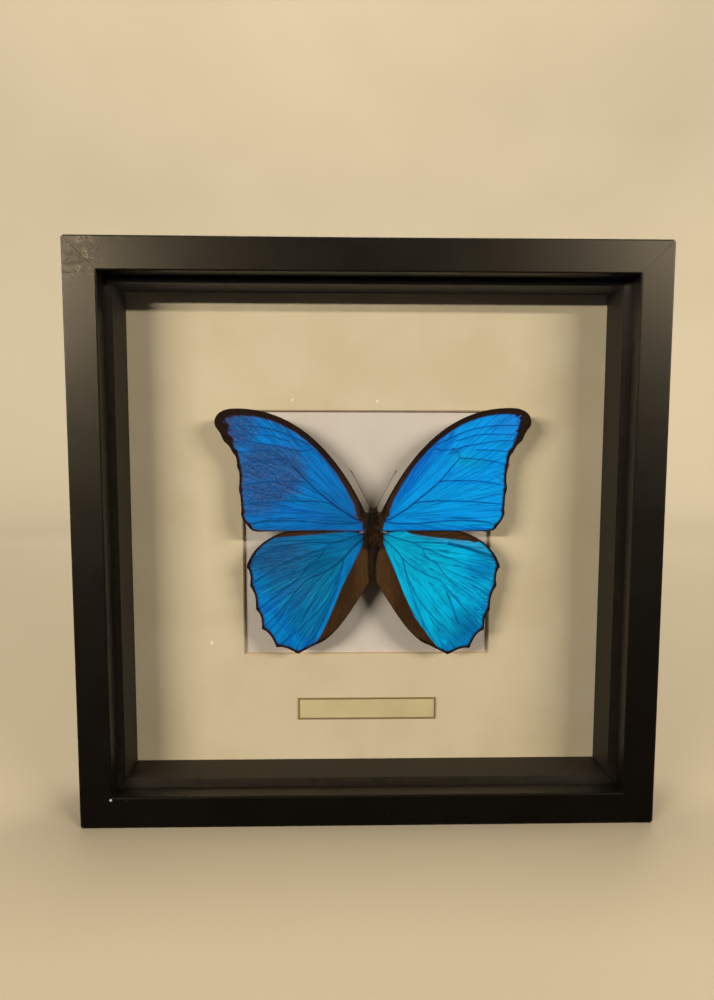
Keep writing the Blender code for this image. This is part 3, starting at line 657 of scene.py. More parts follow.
def relief(kind, side, u, v, inner):
    """Height towards the viewer, mm: veins stand up, folds between them, soft warp."""
    veins = FORE_VEINS if kind == "fore" else HIND_VEINS
    h = np.zeros(u.shape)
    near = np.full(u.shape, 1e9)
    for points, w0, w1 in veins.values():
        d, a = poly_distance(u, v, points)
        near = np.minimum(near, d)
        h += (0.16 - 0.07 * a) * np.exp(-(d / 0.75) ** 2)
    trough = np.clip(near / 5.0, 0, 1)
    h -= 0.12 * trough ** 1.2
    cx, cy = CENTRE[kind]
    ang, rad = np.arctan2(v - cy, u - cx), np.hypot(u - cx, v - cy)
    seed = 3 if kind == "fore" else 23
    seed += 40 if side < 0 else 0
    h += 0.20 * (fbm(ang * 9, rad / 26, seed, 3) - 0.5) * smoothstep(rad, 4, 22)
    h += 0.11 * (fbm(ang * 34, rad / 15, seed + 1, 3) - 0.5) * smoothstep(rad, 6, 26)
    h += 0.07 * (fbm(u / 2.4, v / 2.4, seed + 2, 3) - 0.5)
    if kind == "hind":
        # crumpled patch of cross ripples towards the outer margin
        patch = blob(u, v, 33, -24, 8, 12, -30, 0.6) if side > 0 else blob(u, v, 38, -30, 8, 10, -40, 0.6)
        along = (u * 0.62 - v * 0.78)
        h += 0.10 * patch * np.sin(along * 1.9 + 3 * fbm(u / 5, v / 5, seed + 7, 2))
        h += 0.22 * smoothstep(poly_distance(u, v, [(3, -5), (23, -49)])[0], 9, 0) * -1.0
    else:
        patch = blob(u, v, 44, 26, 16, 15, 0, 0.6)
        h += 0.05 * patch * np.sin(v * 2.6 + 2.5 * fbm(u / 7, v / 4, seed + 7, 2))
    edge = smoothstep(inner, 0.0, 2.6)
    h += 0.22 * (1 - edge) * (fbm(ang * 26, rad * 0 + 1, seed + 9, 2) - 0.5)
    h = np.clip(h, -0.36, 0.36)
    if kind == "hind":
        h -= 0.75 * (1 - smoothstep(u, 0.4, 1.5)) * (1 - smoothstep(v, -5.5, -3.5))
    return h


def paint(kind, side, u, v):
    """Soft colour fields of each wing, 0 to 1; the material breaks their edges up."""
    z = np.zeros(u.shape)
    cx, cy = CENTRE[kind]
    ang = np.degrees(np.arctan2(v - cy, u - cx))
    rad = np.hypot(u - cx, v - cy)
    if kind == "fore" and side > 0:
        deep = np.maximum(stroke(u, v, [(9, 14), (16, 25), (26, 38), (33, 44)], 3.4, 3.2),
                          0.5 * stroke(u, v, [(10, 4), (30, 3.4), (48, 4)], 1.6, 1.4))
        violet = np.maximum(0.55 * blob(u, v, 60, 51, 9, 6, 0, 0.9), 0.45 * blob(u, v, 63, 44, 4, 7, 0, 0.9))
        bright = np.maximum(blob(u, v, 34, 17, 22, 6, 10, 0.8), 0.6 * blob(u, v, 44, 29, 13, 4, 0, 0.8))
        cyan = np.maximum(0.85 * blob(u, v, 41, 33.5, 8, 3.6, 0, 0.9), 0.5 * stroke(u, v, [(20, 6.2), (40, 6.0), (54, 6.5)], 1.7, 1.6))
        dark = np.maximum.reduce([0.55 * blob(u, v, 39, 8.3, 8.5, 0.7, -2, 0.8),
                                  0.60 * blob(u, v, 35.6, 37.6, 4.2, 0.9, 22, 0.9),
                                  0.5 * stroke(u, v, [(53.5, 27.5), (55.8, 26.3), (58.1, 24.5)], 0.6, 0.5),
                                  0.6 * stroke(u, v, [(38.2, 34.9), (37.6, 37.4), (34.9, 39.2)], 0.5, 0.4)])
        brown = z
    elif kind == "fore":
        deep = np.maximum(blob(u, v, 26, 36, 13, 5, 55, 0.7) * 0.8, stroke(u, v, [(22, 9.5), (38, 12), (55, 11.5)], 2.0, 1.6))
        violet = np.maximum.reduce([0.95 * blob(u, v, 46, 28, 15, 12, -8, 0.45), blob(u, v, 62, 48, 9, 8, 0, 0.8),
                                    0.6 * blob(u, v, 52, 16, 11, 6, 0, 0.8), 0.6 * stroke(u, v, [(54, 40), (40, 39), (34, 37)], 2.2, 2.0)])
        bright = np.maximum(blob(u, v, 27, 37, 15, 4.5, 52, 0.8), 0.7 * blob(u, v, 40, 43, 12, 4.5, 5, 0.7))
        cyan = np.maximum.reduce([0.9 * stroke(u, v, [(20, 14.6), (34, 18.6), (50, 19.6)], 0.9, 0.8),
                                  0.7 * stroke(u, v, [(16, 11.8), (34, 15.6), (50, 17)], 0.5, 0.4), 0.4 * blob(u, v, 22, 12, 12, 4, 20, 0.8)])
        dark = np.maximum.reduce([0.50 * stroke(u, v, curve_through([(54, 6.0), (45, 7.9), (34, 8.3), (22, 7.4), (8, 6.4)], 1.5), 0.5, 0.5),
                                  0.45 * stroke(u, v, curve_through([(50, 9.6), (38, 10.6), (24, 9.0), (10, 7.2)], 1.5), 0.35, 0.35),
                                  0.35 * stroke(u, v, [(8, 8.4), (18, 16.6), (28, 26), (36, 34)], 0.9, 0.9),
                                  0.35 * blob(u, v, 32.5, 18.2, 4.5, 1.5, 5, 0.9)])
        brown = np.maximum(0.62 * stroke(u, v, [(31.2, 20.4), (33.4, 19.3), (34.6, 19.6)], 0.32, 0.4), 0.56 * stroke(u, v, [(34.8, 18.2), (36.6, 17.6)], 0.28, 0.4))
    elif side > 0:
        deep = np.maximum.reduce([0.8 * smoothstep(rad, 44, 58), 0.7 * blob(u, v, 50, -14, 8, 8, -20, 0.8),
                                  0.5 * blob(u, v, 44, -42, 12, 12, 0, 0.9)])
        violet = np.maximum(0.5 * stroke(u, v, [(19, 0.6), (31, -1.4), (44, -3.4), (50, -6)], 1.2, 1.1), 0.3 * blob(u, v, 52, -30, 4, 12, 0, 0.9))
        bright = np.maximum(stroke(u, v, [(5.3, -4.4), (12.4, -20), (16.3, -30.6), (22, -41), (30, -51)], 1.2, 1.0),
                            0.55 * blob(u, v, 26, -26, 9, 14, 35, 0.9))
        cyan = np.maximum(blob(u, v, 22, -14, 20, 13, -35, 0.7), 0.7 * blob(u, v, 26, -33, 9, 14, 30, 0.8))
        dark = np.maximum.reduce([0.8 * stroke(u, v, [(34, -3.4), (40.5, -5.0), (48.6, -7.6), (54, -9.6)], 0.9, 0.8),
                                  0.75 * stroke(u, v, curve_through([(33.4, -26.0), (35.4, -30.5), (37.0, -35), (38.9, -40.4)], 1.0), 0.45, 0.4),
                                  0.50 * blob(u, v, 42, -40, 10, 9, 20, 0.8), 0.42 * blob(u, v, 30, -44, 8, 5, 40, 0.9),
                                  0.30 * stroke(u, v, curve_through([(20, -12), (28, -21), (37, -30), (44, -40)], 1.5), 0.35, 0.3),
                                  0.30 * stroke(u, v, curve_through([(16, -14), (24, -25), (30, -36), (34, -46)], 1.5), 0.35, 0.3),
                                  0.5 * stroke(u, v, [(29.7, -25.9), (32.2, -30.1), (33.1, -31.8)], 0.5, 0.4),
                                  0.45 * stroke(u, v, [(41.3, -18.7), (46.8, -21.3), (52.7, -25.5)], 0.6, 0.5)])
        brown = stroke(u, v, [(17, 3.2), (25.5, 1.7), (34, 0.8), (43, -0.1), (46, -1.0)], 2.1, 1.5)
    else:
        deep = np.maximum.reduce([0.9 * smoothstep(rad, 46, 56), 0.6 * blob(u, v, 46, -36, 10, 14, 30, 0.8)])
        violet = np.maximum(0.62 * blob(u, v, 43, -10, 15, 9, -12, 0.7), 0.40 * blob(u, v, 36, -22, 14, 12, 0, 0.9))
        bright = np.maximum(stroke(u, v, [(5.3, -4.8), (13.5, -15.5), (18.5, -33), (25, -46)], 1.6, 1.4),
                            0.45 * stroke(u, v, [(9, -8), (32, -20), (41, -31)], 1.6, 1.5))
        bright = np.maximum.reduce([bright, blob(u, v, 53, -17.5, 5.4, 2.8, 12, 0.7), blob(u, v, 51.5, -28, 5.4, 2.8, 20, 0.7),
                                    blob(u, v, 48.5, -38, 5.4, 3.0, 35, 0.7), blob(u, v, 42.5, -45.5, 5.6, 3.0, 50, 0.7),
                                    0.9 * blob(u, v, 34.5, -49.5, 5.0, 2.8, 80, 0.7)])
        cyan = np.maximum.reduce([0.8 * stroke(u, v, [(6, -5), (17, -14.5), (33, -23), (42, -32.5)], 1.4, 1.3),
                                  0.7 * stroke(u, v, [(20, -18.6), (31, -32.5)], 1.2, 1.1),
                                  0.8 * stroke(u, v, [(12, -7), (30, -12), (49, -15)], 0.8, 0.8),
                                  0.8 * stroke(u, v, [(16, -12), (36, -20), (50, -26)], 0.8, 0.8),
                                  0.7 * stroke(u, v, [(18, -24), (27, -37), (33, -47)], 0.8, 0.8),
                                  0.5 * blob(u, v, 24, -20, 12, 14, -40, 0.9)])
        dark = np.maximum.reduce([0.5 * blob(u, v, 24, -13, 12, 7, -30, 0.8),
                                  0.5 * blob(u, v, 35, -9.5, 1.2, 0.9, 0, 0.8), 0.5 * blob(u, v, 36, -16.4, 1.2, 1.0, 0, 0.8),
                                  0.5 * stroke(u, v, [(14, -10), (24, -24), (33, -40)], 0.8, 0.7)])
        brown = 0.74 * stroke(u, v, [(14, 3.4), (26, 2.3), (35, 1.6), (43, 1.0)], 2.2, 2.4)
    if kind == "hind":
        # the hairy brown fold against the body: everything inside a line from the root to the anal corner
        line = np.array([(4.0, -2.0), (8.6, -13.0), (14.2, -26.5), (19.4, -37.6), (26.0, -46.6), (30.0, -51.4)])
        if side < 0:
            line = np.array([(4.0, -2.6), (9.0, -13.0), (14.6, -24.5), (20.8, -39.6), (24.0, -46.0), (27.5, -52.0)])
        limit = np.interp(-v, -line[:, 1], line[:, 0])
        brown = np.maximum(brown, 1 - smoothstep(u - limit, -0.55, 0.35))
    root = blob(u, v, 2.9, 7.2, 2.0, 4.8, 0, 0.5) if kind == "fore" else blob(u, v, 2.9, -1.2, 1.8, 3.0, 0, 0.5)
    brown = np.maximum(brown, root)
    return {"deep": deep, "violet": violet, "bright": bright, "cyan": cyan, "dark": dark, "brown": brown}


def wing_material(name, colours, grime, painted_crease_strength):
    """Blue scales under a dark border, streaked along the rays of the wing, with painted shade and highlights on the
    streaks and creases.
    """
    t = Tree(name)
    mm = t.mm()
    ray = t.vec(t.attr("w_ang"), t.attr("w_rad"), t.attr("w_seed"))
    long_ = t.noise(t.stretch(ray, (1.0, 0.035, 1.0)), 1.0, 4, 0.62, 0.25)
    fine = t.noise(t.stretch(ray, (3.2, 0.16, 1.0)), 1.0, 5, 0.68)
    scale = t.noise(mm, 2.6, 4, 0.7)
    patch = t.noise(mm, 0.13, 4, 0.6)
    col = colours["base"]
    col = t.mix(t.smooth(patch, 0.32, 0.68, 0.0, 0.55), col, colours["base2"])

    def layer(col, key, amp, top=1.0):
        f = t.m("ADD", t.attr("w_" + key), t.m("MULTIPLY", t.m("SUBTRACT", long_, 0.5), amp))
        f = t.m("ADD", f, t.m("MULTIPLY", t.m("SUBTRACT", fine, 0.5), amp * 0.8))
        f = t.m("MULTIPLY", t.smooth(f, 0.18, 0.85, 0.0, top), t.smooth(t.attr("w_" + key), 0.0, 0.12))
        return t.mix(f, col, colours[key])

    col = layer(col, "deep", 0.5)
    col = layer(col, "cyan", 0.7)
    col = layer(col, "bright", 0.7)
    col = layer(col, "violet", 0.7, 0.9)
    # streaks along the rays: scale rows, partly painted sheen and painted shade of the folds
    col = t.mix(t.smooth(long_, 0.42, 0.70, 0.0, 0.42), col, colours["streak_hi"])
    col = t.mix(t.smooth(long_, 0.50, 0.26, 0.0, 0.50), col, colours["streak_lo"])
    col = t.mix(t.smooth(fine, 0.46, 0.24, 0.0, 0.42), col, colours["streak_lo"])
    # creases: thin lines that follow the rays, coloured as painted shade with a painted highlight beside them, and
    # dented in the bump
    c1 = t.noise(t.stretch(ray, (0.62, 0.022, 1.0)), 1.0, 2, 0.5, 0.35)
    c2 = t.noise(t.stretch(ray, (1.5, 0.05, 1.0)), 1.0, 2, 0.5, 0.5)
    ridge1 = t.m("ABSOLUTE", t.m("SUBTRACT", c1, 0.5))
    ridge2 = t.m("ABSOLUTE", t.m("SUBTRACT", c2, 0.5))
    where = t.smooth(t.noise(mm, 0.10, 3), 0.40, 0.60)
    line1 = t.m("MULTIPLY", t.smooth(ridge1, 0.003, 0.020, 1.0, 0.0), where)
    line2 = t.m("MULTIPLY", t.smooth(ridge2, 0.004, 0.026, 1.0, 0.0), t.m("SUBTRACT", 1.0, where))
    crease_shade_and_dent = t.m("MAXIMUM", line1, line2)
    fades = t.smooth(t.attr("w_rad"), 5.0, 16.0)
    crease_shade_and_dent = t.m("MULTIPLY", crease_shade_and_dent, fades)
    col = t.mix(t.m("MULTIPLY", crease_shade_and_dent, painted_crease_strength), col, colours["streak_lo"])
    col = t.mix(t.m("MULTIPLY", crease_shade_and_dent, painted_crease_strength * 0.6), col, colours["dark"])
    # painted highlight: a lighter line along one side of each crease
    crease_highlight = t.m("MULTIPLY", t.smooth(ridge1, 0.016, 0.032), t.smooth(ridge1, 0.060, 0.034))
    col = t.mix(t.m("MULTIPLY", t.m("MULTIPLY", crease_highlight, where), painted_crease_strength), col, colours["bright"])
    # grey-purple rubbed flecks where scales have gone
    rub = t.noise(t.stretch(ray, (1.7, 0.30, 1.0)), 1.0, 5, 0.75, 0.6)
    rub = t.m("MULTIPLY", t.smooth(rub, 0.53, 0.68), t.smooth(t.attr("w_violet"), 0.15, 0.7, 0.25 * grime, grime))
    col = t.mix(rub, col, colours["rubbed"])
    fleck = t.noise(t.stretch(mm, (0.42, 1.0, 1.3)), 1.9, 3, 0.75)
    worn = t.smooth(t.attr("w_violet"), 0.1, 0.6, 0.10 * grime, grime)
    col = t.mix(t.m("MULTIPLY", t.smooth(fleck, 0.52, 0.66), worn), col, colours["rubbed"])
    col = t.mix(t.m("MULTIPLY", t.smooth(fleck, 0.46, 0.36), t.m("MULTIPLY", worn, 0.8)), col, colours["dark"])
    pick = t.xyz(t.voronoi(t.stretch(mm, (0.5, 1.0, 1.25)), 2.3, "F1", "Color"))
    col = t.mix(t.m("MULTIPLY", t.smooth(pick[0], 0.55, 0.66), t.m("MULTIPLY", worn, 0.50)), col, colours["rubbed"])
    col = t.mix(t.m("MULTIPLY", t.smooth(pick[1], 0.62, 0.72), t.m("MULTIPLY", worn, 0.45)), col, colours["dark"])
    col = t.mix(t.m("MULTIPLY", t.smooth(pick[2], 0.76, 0.85), t.m("MULTIPLY", worn, 0.45)), col, colours["bright"])
    star = t.voronoi(mm, 0.9)
    col = t.mix(t.m("MULTIPLY", t.smooth(star, 0.16, 0.10), t.m("MULTIPLY", worn, 0.55)), col, colours["streak_hi"])
    col = layer(col, "dark", 0.5, 0.9)
    # dark scales beside the veins
    vein = t.attr("w_vein")
    edge_v = t.m("ADD", vein, t.m("MULTIPLY", t.m("SUBTRACT", fine, 0.5), 0.5))
    col = t.mix(t.smooth(edge_v, 0.18, 0.62, 0.62, 0.0), col, colours["streak_lo"])
    # brown: the border, the costal strip and the folded inner area
    ragged = t.m("ADD", t.m("MULTIPLY", t.m("SUBTRACT", fine, 0.5), 0.9),
                 t.m("MULTIPLY", t.m("SUBTRACT", scale, 0.5), 0.55))
    wide = t.attr("w_wide")
    wild = t.m("MULTIPLY", t.smooth(wide, 2.4, 4.8, 0.0, 1.0),
               t.m("ADD", t.m("MULTIPLY", t.m("SUBTRACT", t.noise(mm, 0.40, 4, 0.7), 0.5), 11.0),
                   t.m("MULTIPLY", t.m("SUBTRACT", fine, 0.5), 7.0)))
    ragged = t.m("ADD", ragged, wild)
    rim = t.smooth(t.m("ADD", t.attr("w_rim"), ragged), -0.22, 0.30, 1.0, 0.0)
    halo = t.smooth(t.m("ADD", t.attr("w_rim"), ragged), 0.0, t.smooth(wide, 2.4, 4.8, 0.9, 2.6), 0.6, 0.0)
    col = t.mix(halo, col, colours["halo"])
    brown_n = t.m("ADD", t.attr("w_brown"), t.m("MULTIPLY", t.m("SUBTRACT", fine, 0.5), 0.35))
    brown = t.smooth(brown_n, 0.36, 0.62)
    tone = t.mix(t.smooth(patch, 0.3, 0.7), srgb(72, 46, 22), srgb(90, 60, 33))
    tone = t.mix(t.smooth(fine, 0.35, 0.7, 0.0, 0.6), tone, srgb(48, 28, 13))
    beside = t.smooth(t.m("ADD", t.attr("w_side"), t.m("MULTIPLY", t.m("SUBTRACT", fine, 0.5), 3.0)), 4.0, 12.0)
    tone = t.mix(beside, t.mix(0.35, tone, srgb(96, 68, 38)), t.mix(0.45, tone, srgb(50, 29, 14)))
    col = t.mix(brown, col, tone)
    edge = t.mix(t.smooth(scale, 0.3, 0.7), srgb(22, 12, 8), srgb(46, 26, 14))
    edge = t.mix(t.m("MULTIPLY", t.smooth(t.attr("w_rad"), 6.0, 34.0, 0.75, 0.0), t.smooth(t.attr("w_rim"), -2.2, -1.2)), edge, srgb(72, 47, 26))
    col = t.mix(rim, col, edge)
    plain = t.m("MAXIMUM", rim, brown)
    # single scales: a very fine grain, in colour and in height
    grain = t.noise(mm, 9.0, 2, 0.6)
    col = t.mix(t.smooth(grain, 0.3, 0.75, 0.0, 0.20), col, t.mix(0.5, col, (0, 0, 0)))
    rough = t.m("ADD", t.smooth(fine, 0.3, 0.7, 0.42, 0.56), t.m("MULTIPLY", plain, 0.18))
    metal = t.m("MULTIPLY", t.m("SUBTRACT", 1.0, plain), 0.10)
    n = t.bump(t.m("ADD", t.m("MULTIPLY", fine, 0.8), t.m("MULTIPLY", grain, 0.5)), 0.28, 0.0002)
    n = t.bump(t.m("SUBTRACT", t.smooth(ridge1, 0.0, 0.06), t.m("MULTIPLY", crease_shade_and_dent, 0.6)), 0.6, 0.0005, n)
    t.principled(col, rough, metallic=metal, spec=0.03, normal=n)
    return t.mat


def underside_material():
    """The hidden brown underside, with its row of ringed spots and pale bands."""
    t = Tree("wing_underside")
    mm = t.mm()
    ray = t.vec(t.attr("w_ang"), t.attr("w_rad"), t.attr("w_seed"))
    fine = t.noise(t.stretch(ray, (3.0, 0.2, 1.0)), 1.0, 5, 0.68)
    col = t.mix(t.smooth(t.noise(mm, 0.16, 4), 0.3, 0.7), srgb(96, 72, 50), srgb(122, 97, 70))
    col = t.mix(t.smooth(fine, 0.4, 0.7, 0.0, 0.5), col, srgb(74, 52, 35))
    band = t.smooth(t.m("ADD", t.attr("w_band"), t.m("MULTIPLY", t.m("SUBTRACT", fine, 0.5), 0.3)), 0.4, 0.7)
    col = t.mix(t.m("MULTIPLY", band, 0.7), col, srgb(176, 158, 128))
    eye = t.attr("w_eye")
    col = t.mix(t.smooth(eye, 2.9, 2.6), col, srgb(176, 146, 84))
    col = t.mix(t.smooth(eye, 2.2, 1.9), col, srgb(36, 24, 16))
    col = t.mix(t.smooth(eye, 0.7, 0.5), col, srgb(214, 208, 196))
    col = t.mix(t.smooth(t.attr("w_vein"), 0.15, 0.5, 0.5, 0.0), col, srgb(60, 42, 28))
    n = t.bump(fine, 0.3, 0.0002)
    t.principled(col, 0.7, spec=0.2, normal=n)
    return t.mat


def vein_material(name, dark, light):
    t = Tree(name)
    mm = t.mm()
    a = t.noise(mm, 0.9, 4, 0.6)
    col = t.mix(t.smooth(a, 0.35, 0.68), dark, light)
    col = t.mix(t.smooth(t.attr("w_brown"), 0.35, 0.6), col, srgb(58, 36, 18))
    col = t.mix(t.smooth(t.attr("w_rim"), -0.1, 0.4, 1.0, 0.0), col, srgb(30, 17, 10))
    n = t.bump(t.noise(mm, 5.0, 3, 0.6), 0.3, 0.0001)
    t.principled(col, t.smooth(a, 0.3, 0.7, 0.42, 0.6), spec=0.1, normal=n)
    return t.mat


def tube_rings(path, normals, radii, flat=1.0, sides=6):
    """Vertices of a tube along a 3-D path (mm); flat squashes it along the normal."""
    path = np.asarray(path, float)
    tang = np.gradient(path, axis=0)
    tang /= np.linalg.norm(tang, axis=1)[:, None] + 1e-12
    normals = np.asarray(normals, float)
    normals = normals - tang * (normals * tang).sum(1)[:, None]
    normals /= np.linalg.norm(normals, axis=1)[:, None] + 1e-12
    side = np.cross(tang, normals)
    ph = np.arange(sides) * 2 * math.pi / sides
    ring = (side[:, None, :] * np.cos(ph)[None, :, None]
            + normals[:, None, :] * np.sin(ph)[None, :, None] * flat)
    return (path[:, None, :] + ring * np.asarray(radii)[:, None, None]).reshape(-1, 3)


def tube_faces(base, n, sides=6):
    """Faces of that tube, capped at both ends."""
    faces = []
    for i in range(n - 1):
        for j in range(sides):
            k = (j + 1) % sides
            a, b = base + i * sides, base + (i + 1) * sides
            faces.append((a + j, a + k, b + k, b + j))
    faces.append(tuple(base + j for j in reversed(range(sides))))
    faces.append(tuple(base + (n - 1) * sides + j for j in range(sides)))
    return faces


AROUND, RINGS = 300, 84
WING_MATS = {}


def build_wing(kind, side, materials):
    """One wing as a closed thin sheet with relief and raised veins."""
    name = "%swing_%s" % (kind, "right" if side > 0 else "left")
    pts, station = outline(kind)
    loop, st = resample(pts, station, AROUND)
    cx, cy = CENTRE[kind]
    # frayed margin: tiny irregularities of the fringe along the outer edge
    d0 = loop - np.array([cx, cy])
    rad0 = np.hypot(d0[:, 0], d0[:, 1])
    nudge = (fbm(np.arange(AROUND) / 2.3, np.zeros(AROUND), 60 + side, 3) - 0.62) * 0.34
    outer = (st > 2.0) & (st < 9.0) if kind == "fore" else (st > 1.0) & (st < 7.0)
    loop = loop + d0 / rad0[:, None] * (nudge * np.where(outer, 1.0, 0.35))[:, None]
    w = rim_width(kind, st, side)
    r = (np.arange(1, RINGS + 1) / RINGS) ** 0.86
    # rings shrink towards the centre; a straight fan keeps them inside the outline
    ring = np.array([cx, cy]) + (loop - np.array([cx, cy]))[None, :, :] * r[:, None, None]
    uv = np.vstack([[[cx, cy]], ring.reshape(-1, 2)])
    u, v = uv[:, 0], uv[:, 1]
    # signed distance from the inner line of the dark border, and from the margin
    rim, inner, wide = np.full(u.shape, 1e9), np.full(u.shape, 1e9), np.zeros(u.shape)
    for (px, py), pw in zip(loop, w):
        d = np.hypot(u - px, v - py)
        wide = np.where(d - pw < rim, pw, wide)
        rim = np.minimum(rim, d - pw)
        inner = np.minimum(inner, d)
    h = relief(kind, side, u, v, inner)
    mid = (FORE_Y if kind == "fore" else HIND_Y) + WING_T / 2
    half = 0.07 * (0.45 + 0.55 * smoothstep(inner, 0, 1.2))
    scale_u, scale_v = 1.0, 1.0
    if side < 0:
        scale_u, scale_v = (1.0, LEFT_FORE_HEIGHT) if kind == "fore" else (LEFT_HIND_SIZE, LEFT_HIND_SIZE)

    def place(u, v, depth):
        return Wn(np.stack([BODY_X + side * u * scale_u, depth, v * scale_v], 1))

    front, back = place(u, v, mid - h - half), place(u, v, mid - h + half)
    verts = [front, back]
    n = len(u)
    faces = []
    for i in range(RINGS):
        for j in range(AROUND):
            k = (j + 1) % AROUND
            if i == 0:
                faces.append((0, 1 + j, 1 + k))
            else:
                a, b = 1 + (i - 1) * AROUND, 1 + i * AROUND
                faces.append((a + j, b + j, b + k, a + k))
    one = list(faces)
    faces = [tuple(f) if side < 0 else tuple(reversed(f)) for f in one]
    faces += [tuple(n + q for q in (reversed(f) if side < 0 else f)) for f in one]
    last = 1 + (RINGS - 1) * AROUND
    for j in range(AROUND):
        k = (j + 1) % AROUND
        f = (last + j, n + last + j, n + last + k, last + k)
        faces.append(f if side < 0 else tuple(reversed(f)))
    mat_index = [0] * len(one) + [1] * len(one) + [0] * AROUND
    veins = FORE_VEINS if kind == "fore" else HIND_VEINS
    near = np.full(u.shape, 1e9)
    attrs = {"rim": rim, "wide": wide, "ang": np.arctan2(v - cy, u - cx) * 28.0, "rad": np.hypot(u - cx, v - cy),
             "seed": np.full(n, (3.1 if kind == "fore" else 9.7) + 20 * side)}
    attrs.update(paint(kind, side, u, v))
    attrs["side"] = u if kind == "hind" else u * 0 + 6.0
    for points, w0, w1 in veins.values():
        near = np.minimum(near, poly_distance(u, v, curve_through(points, 2.0))[0])
    attrs["vein"] = near
    # underside pattern: a pale band and a row of ringed spots
    if kind == "fore":
        attrs["band"] = stroke(u, v, [(24, 42), (36, 28), (42, 12), (43, 4)], 2.2, 1.8)
        spots = [(52, 41), (51, 31.5), (50, 21), (48, 12)]
    else:
        attrs["band"] = stroke(u, v, [(26, 0), (30, -14), (28, -28), (20, -38)], 2.2, 1.8)
        spots = [(44, -12), (40, -30), (35, -38), (28, -45)]
    attrs["eye"] = np.minimum.reduce([np.hypot(u - a, v - b) for a, b in spots])
    attrs = {k: [a, a] for k, a in attrs.items()}
    # raised veins, half sunk in the sheet
    at = 2 * n
    for key, (points, w0, w1) in veins.items():
        if key == "radial":                  # lies in the dark border; only its relief shows
            continue
        line = curve_through(points, 0.9)
        a = np.linspace(0, 1, len(line))
        wob = (fbm(a * len(line) / 5.0, a * 0, 80 + len(key) + side, 2) - 0.5) * 0.16
        perp = np.stack([-np.gradient(line[:, 1]), np.gradient(line[:, 0])], 1)
        perp /= np.hypot(perp[:, 0], perp[:, 1])[:, None]
        line = line + perp * wob[:, None]
        lu, lv = line[:, 0], line[:, 1]
        inn = np.full(lu.shape, 1e9)
        for px, py in loop[::2]:
            inn = np.minimum(inn, np.hypot(lu - px, lv - py))
        hh = relief(kind, side, lu, lv, inn)
        thin = 1.0 if side > 0 or key in ("cubital", "cell") else 0.5
        if kind == "hind":
            thin *= 0.78 if side > 0 else 0.7
        rad = (w0 + (w1 - w0) * a) / 2 * np.where(a > 0.96, 0.75, 1.0) * thin
        path = np.stack([BODY_X + side * lu * scale_u, mid - hh - 0.03, lv * scale_v], 1)
        normals = np.tile([0, -1.0, 0], (len(path), 1))
        tube = tube_rings(path, normals, rad, 0.62)
        new = tube_faces(at, len(path))
        if True:
            faces += new
        mat_index += [2] * len(new)
        verts.append(Wn(tube))
        at += len(tube)
        on_rim = np.full(lu.shape, 1e9)
        for (px, py), pw in zip(loop, w):
            on_rim = np.minimum(on_rim, np.hypot(lu - px, lv - py) - pw)
        on_vein = {"rim": on_rim, "brown": paint(kind, side, lu, lv)["brown"]}
        for k in attrs:
            attrs[k].append(np.repeat(on_vein[k], 6) if k in on_vein else np.zeros(len(tube)))
    verts = np.vstack(verts)
    mesh = bpy.data.meshes.new(name)
    mesh.from_pydata(verts.tolist(), [], faces)
    mesh.polygons.foreach_set("material_index", mat_index)
    mesh.polygons.foreach_set("use_smooth", [True] * len(faces))
    for k, parts in attrs.items():
        at_ = mesh.attributes.new("w_" + k, "FLOAT", "POINT")
        at_.data.foreach_set("value", np.concatenate(parts).astype(np.float32))
    mesh.update()
    obj = bpy.data.objects.new(name + "_scaled", mesh)
    bpy.context.scene.collection.objects.link(obj)
    for m in materials:
        mesh.materials.append(m)
    return obj


def fix_normals(obj):
    """Every closed shell's faces point out."""
    import bmesh
    bm = bmesh.new()
    bm.from_mesh(obj.data)
    bmesh.ops.recalc_face_normals(bm, faces=bm.faces)
    bm.to_mesh(obj.data)
    bm.free()


right_fore = wing_material("forewing_right_scales", {
    "base": srgb(0, 163, 252), "base2": srgb(0, 153, 248), "deep": srgb(0, 122, 228),
    "violet": srgb(40, 116, 224), "bright": srgb(0, 168, 252), "cyan": srgb(0, 168, 222),
    "dark": srgb(4, 58, 112), "streak_hi": srgb(0, 170, 252), "streak_lo": srgb(0, 104, 204),
    "rubbed": srgb(40, 126, 214), "halo": srgb(20, 72, 170)}, 0.25, 0.08)
# painted shade: the left forewing's blues are darker and more violet than the right's, standing for the dimmer sheen at
# this viewing angle; its rubbed flecks are wear
left_fore = wing_material("forewing_left_scales", {
    "base": srgb(0, 122, 208), "base2": srgb(0, 126, 216), "deep": srgb(0, 112, 208),
    "violet": srgb(40, 84, 150), "bright": srgb(0, 130, 224), "cyan": srgb(0, 142, 216),
    "dark": srgb(12, 40, 84), "streak_hi": srgb(0, 142, 228), "streak_lo": srgb(4, 78, 146),
    "rubbed": srgb(76, 92, 134), "halo": srgb(74, 54, 100)}, 0.85, 0.5)
right_hind = wing_material("hindwing_right_scales", {
    "base": srgb(0, 190, 254), "base2": srgb(0, 192, 246), "deep": srgb(0, 126, 202),
    "violet": srgb(96, 84, 120), "bright": srgb(0, 200, 252), "cyan": srgb(0, 194, 240),
    "dark": srgb(0, 62, 106), "streak_hi": srgb(0, 200, 246), "streak_lo": srgb(0, 132, 200),
    "rubbed": srgb(30, 120, 176), "halo": srgb(10, 66, 130)}, 0.2, 0.85)
